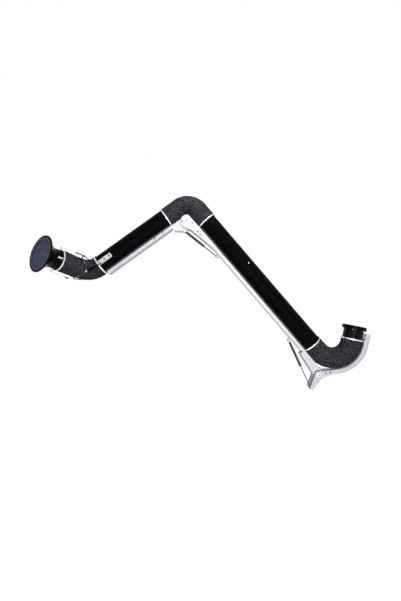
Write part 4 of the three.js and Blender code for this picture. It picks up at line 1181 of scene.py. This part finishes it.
def guard_wire_at(offset, across, lift):
    """One woven wire of the guard: it waves over and under the wires that cross it."""
    half = math.sqrt(GUARD_RADIUS ** 2 - offset ** 2)
    count = max(2, round(2 * half / WIRE_PITCH * WIRE_STEPS_PER_PITCH))
    rings = []
    for i in range(count + 1):
        run = -half + 2 * half * i / count
        wave = lift * math.cos(math.pi * run / WIRE_PITCH) * WIRE_RADIUS
        spot = (run, offset) if across else (offset, run)
        centre = hood.point(GUARD_FORWARD + wave, *spot)
        side = hood.up if across else hood.near
        ways = [hood.forward * math.cos(a) + side * math.sin(a) for a in around(WIRE_SIDES)]
        rings.append([centre + way * WIRE_RADIUS for way in ways])
    return joined_rings(rings, caps=True)


def woven_guard():
    """Two crossing sets of wires, woven over and under in turn."""
    skin = bmesh.new()
    count = int(GUARD_RADIUS / WIRE_PITCH)
    for across in (True, False):
        for i in range(-count, count + 1):
            lift = 1 if (i % 2 == 0) == across else -1
            merge(skin, guard_wire_at(i * WIRE_PITCH, across, lift))
    dress("woven_guard", skin, "hood", "guard_mesh", "mesh_guard")


def guard_ring():
    """A steel ring inside the lip, round the mesh."""
    back, front = MOUTH_FORWARD - LIP_THICKNESS, MOUTH_FORWARD - RING_SINK
    skin = sleeve(hood, back, front, LIP_RADIUS - RING_WIDTH, LIP_RADIUS, RING_EDGE)
    dress("guard_ring", skin, "hood", "bright_steel", look=CHROME)


KNOB_FORWARD = 0.080
KNOB_HEIGHT = 0.011
KNOB_RADIUS = 0.0148
KNOB_LOBES = 8
KNOB_LOBE_DEPTH = 0.03
KNOB_STEPS = 96
STUD_END_RADIUS = 0.006
STUD_END_ROOT = 0.001
STUD_END_PROUD = 0.0005
STUD_END_EDGE = 0.0006
# Height on the knob, with the shares of its radius and of its lobes there
KNOB_PROFILE = [
    (0, 0.62, 0), (0.0012, 0.70, 0), (0.0022, 0.93, 1), (0.003, 0.97, 1),
    (0.0092, 0.97, 1), (0.0104, 0.93, 1), (KNOB_HEIGHT, 0.80, 0.3),
]


def ridged_knob():
    """A round hand knob with lobes, and a stud's steel end in it."""
    seat = Layout(hood.point(KNOB_FORWARD), -hood.up, hood.near)
    rings = []
    for height, size, lobe in KNOB_PROFILE:
        ring = []
        for angle in around(KNOB_STEPS):
            radius = KNOB_RADIUS * (size + KNOB_LOBE_DEPTH * lobe * math.cos(KNOB_LOBES * angle))
            ring.append(seat.point(STUD_TOP + height, radius * math.cos(angle), radius * math.sin(angle)))
        rings.append(ring)
    dress("ridged_knob", joined_rings(rings, caps=True), "hood", "black_plastic", "hood_knob", look=RUBBER)
    end = STUD_TOP + KNOB_HEIGHT
    stud = disc(seat, end - STUD_END_ROOT, end + STUD_END_PROUD, STUD_END_RADIUS, STUD_END_EDGE, PIN_STEPS)
    dress("knob_stud", stud, "hood", "bright_steel")


hood_bell()
woven_guard()
guard_ring()
ridged_knob()

# Construction pieces that show as they are, with softened edges
EDGE = 0.0008
EDGE_SEGMENTS = 2
EDGE_ANGLE = math.radians(40)
# The lower channel takes the paler white paint in place of its slot's aluminium, so that it renders brighter:
# painted light
LIGHTENED_NODE_LOOKS = {"lower_channel": LOOKS["white_steel"]}
slot_of = {s["node"]: s["material_slot"] for s in frame["record"]["subparts"]}


def soften(node, made):
    """Bevels a construction piece's edges and gives it the look of its slot, or a paler look that stands in for
    more light on it.
    """
    bevel = made.modifiers.new("edges", "BEVEL")
    bevel.width = EDGE
    bevel.segments = EDGE_SEGMENTS
    bevel.limit_method = "ANGLE"
    bevel.angle_limit = EDGE_ANGLE
    bevel.use_clamp_overlap = True
    made.data.materials.clear()
    made.data.materials.append(LIGHTENED_NODE_LOOKS.get(node, LOOKS[slot_of[node]]))


for node, made in frame["nodes"].items():
    soften(node, made)

# Floor, light and background
FLOOR_UP = -2.2
FLOOR_HALF = 30.0
FLOOR_GLOW = 0.94


def seen_rays(nodes, links):
    """One where the camera, a mirror or a clear thing looks, and zero for the light on other things."""
    rays = nodes.new("ShaderNodeLightPath")
    seen = rays.outputs["Is Camera Ray"]
    for name in ("Is Glossy Ray", "Is Transmission Ray"):
        either = nodes.new("ShaderNodeMath")
        either.operation = "MAXIMUM"
        links.new(seen, either.inputs[0])
        links.new(rays.outputs[name], either.inputs[1])
        seen = either.outputs["Value"]
    return seen


def between(nodes, links, share, low, high):
    """A value that goes from low to high as the share goes from zero to one."""
    node = nodes.new("ShaderNodeMapRange")
    node.inputs["To Min"].default_value = low
    node.inputs["To Max"].default_value = high
    links.new(share, node.inputs["Value"])
    return node.outputs["Result"]


def pale_floor():
    """A wide floor that looks white, but doesn't light the object by its glow."""
    skin = bmesh.new()
    half = FLOOR_HALF
    corners = [(-half, -half), (half, -half), (half, half), (-half, half)]
    skin.faces.new([skin.verts.new((x, y, FLOOR_UP)) for x, y in corners])
    look = Finish("floor_white", (0.79, 0.79, 0.79), 0.8)
    look.set(Specular_IOR_Level=0, Emission_Color=(1, 1, 1, 1))
    look.vary_color(look.noise(2, 2), (0.78, 0.78, 0.78), (0.80, 0.80, 0.80))
    nodes, links = look.tree.nodes, look.tree.links
    glow = between(nodes, links, seen_rays(nodes, links), 0, FLOOR_GLOW)
    links.new(glow, look.shader.inputs["Emission Strength"])
    made = piece("floor", finished("floor", skin), look.material)


def area_light(name, at, target, size, power):
    data = bpy.data.lights.new(name, "AREA")
    data.shape = "RECTANGLE"
    data.size, data.size_y = size
    data.energy = power
    made = bpy.data.objects.new(name, data)
    made.location = at
    made.rotation_euler = (Vector(target) - Vector(at)).to_track_quat("-Z", "Y").to_euler()
    bpy.context.scene.collection.objects.link(made)


AMBIENT = 0.16


def white_world():
    """White where the camera, mirrors or clear things see it, and a softer light for the rest."""
    world = bpy.data.worlds.new("studio")
    bpy.context.scene.world = world
    world.use_nodes = True
    nodes, links = world.node_tree.nodes, world.node_tree.links
    shade = nodes["Background"]
    shade.inputs["Color"].default_value = (1, 1, 1, 1)
    links.new(between(nodes, links, seen_rays(nodes, links), AMBIENT, 1), shade.inputs["Strength"])


pale_floor()
white_world()
area_light("overhead", at=(-1.4, -1.6, 2.6), target=(-1.4, 0, 0.3), size=(0.6, 0.6), power=54)
area_light("front", at=(-1.6, -4.8, -0.3), target=(-1.2, 0, 0), size=(0.5, 0.5), power=38)
area_light("base_side", at=(-0.5, -4.3, -0.1), target=(0, 0, -0.1), size=(0.25, 0.4), power=50)

# Bring the scene up to date, and show colours with the standard view transform
bpy.context.view_layer.update()

bpy.context.scene.view_settings.view_transform = "Standard"
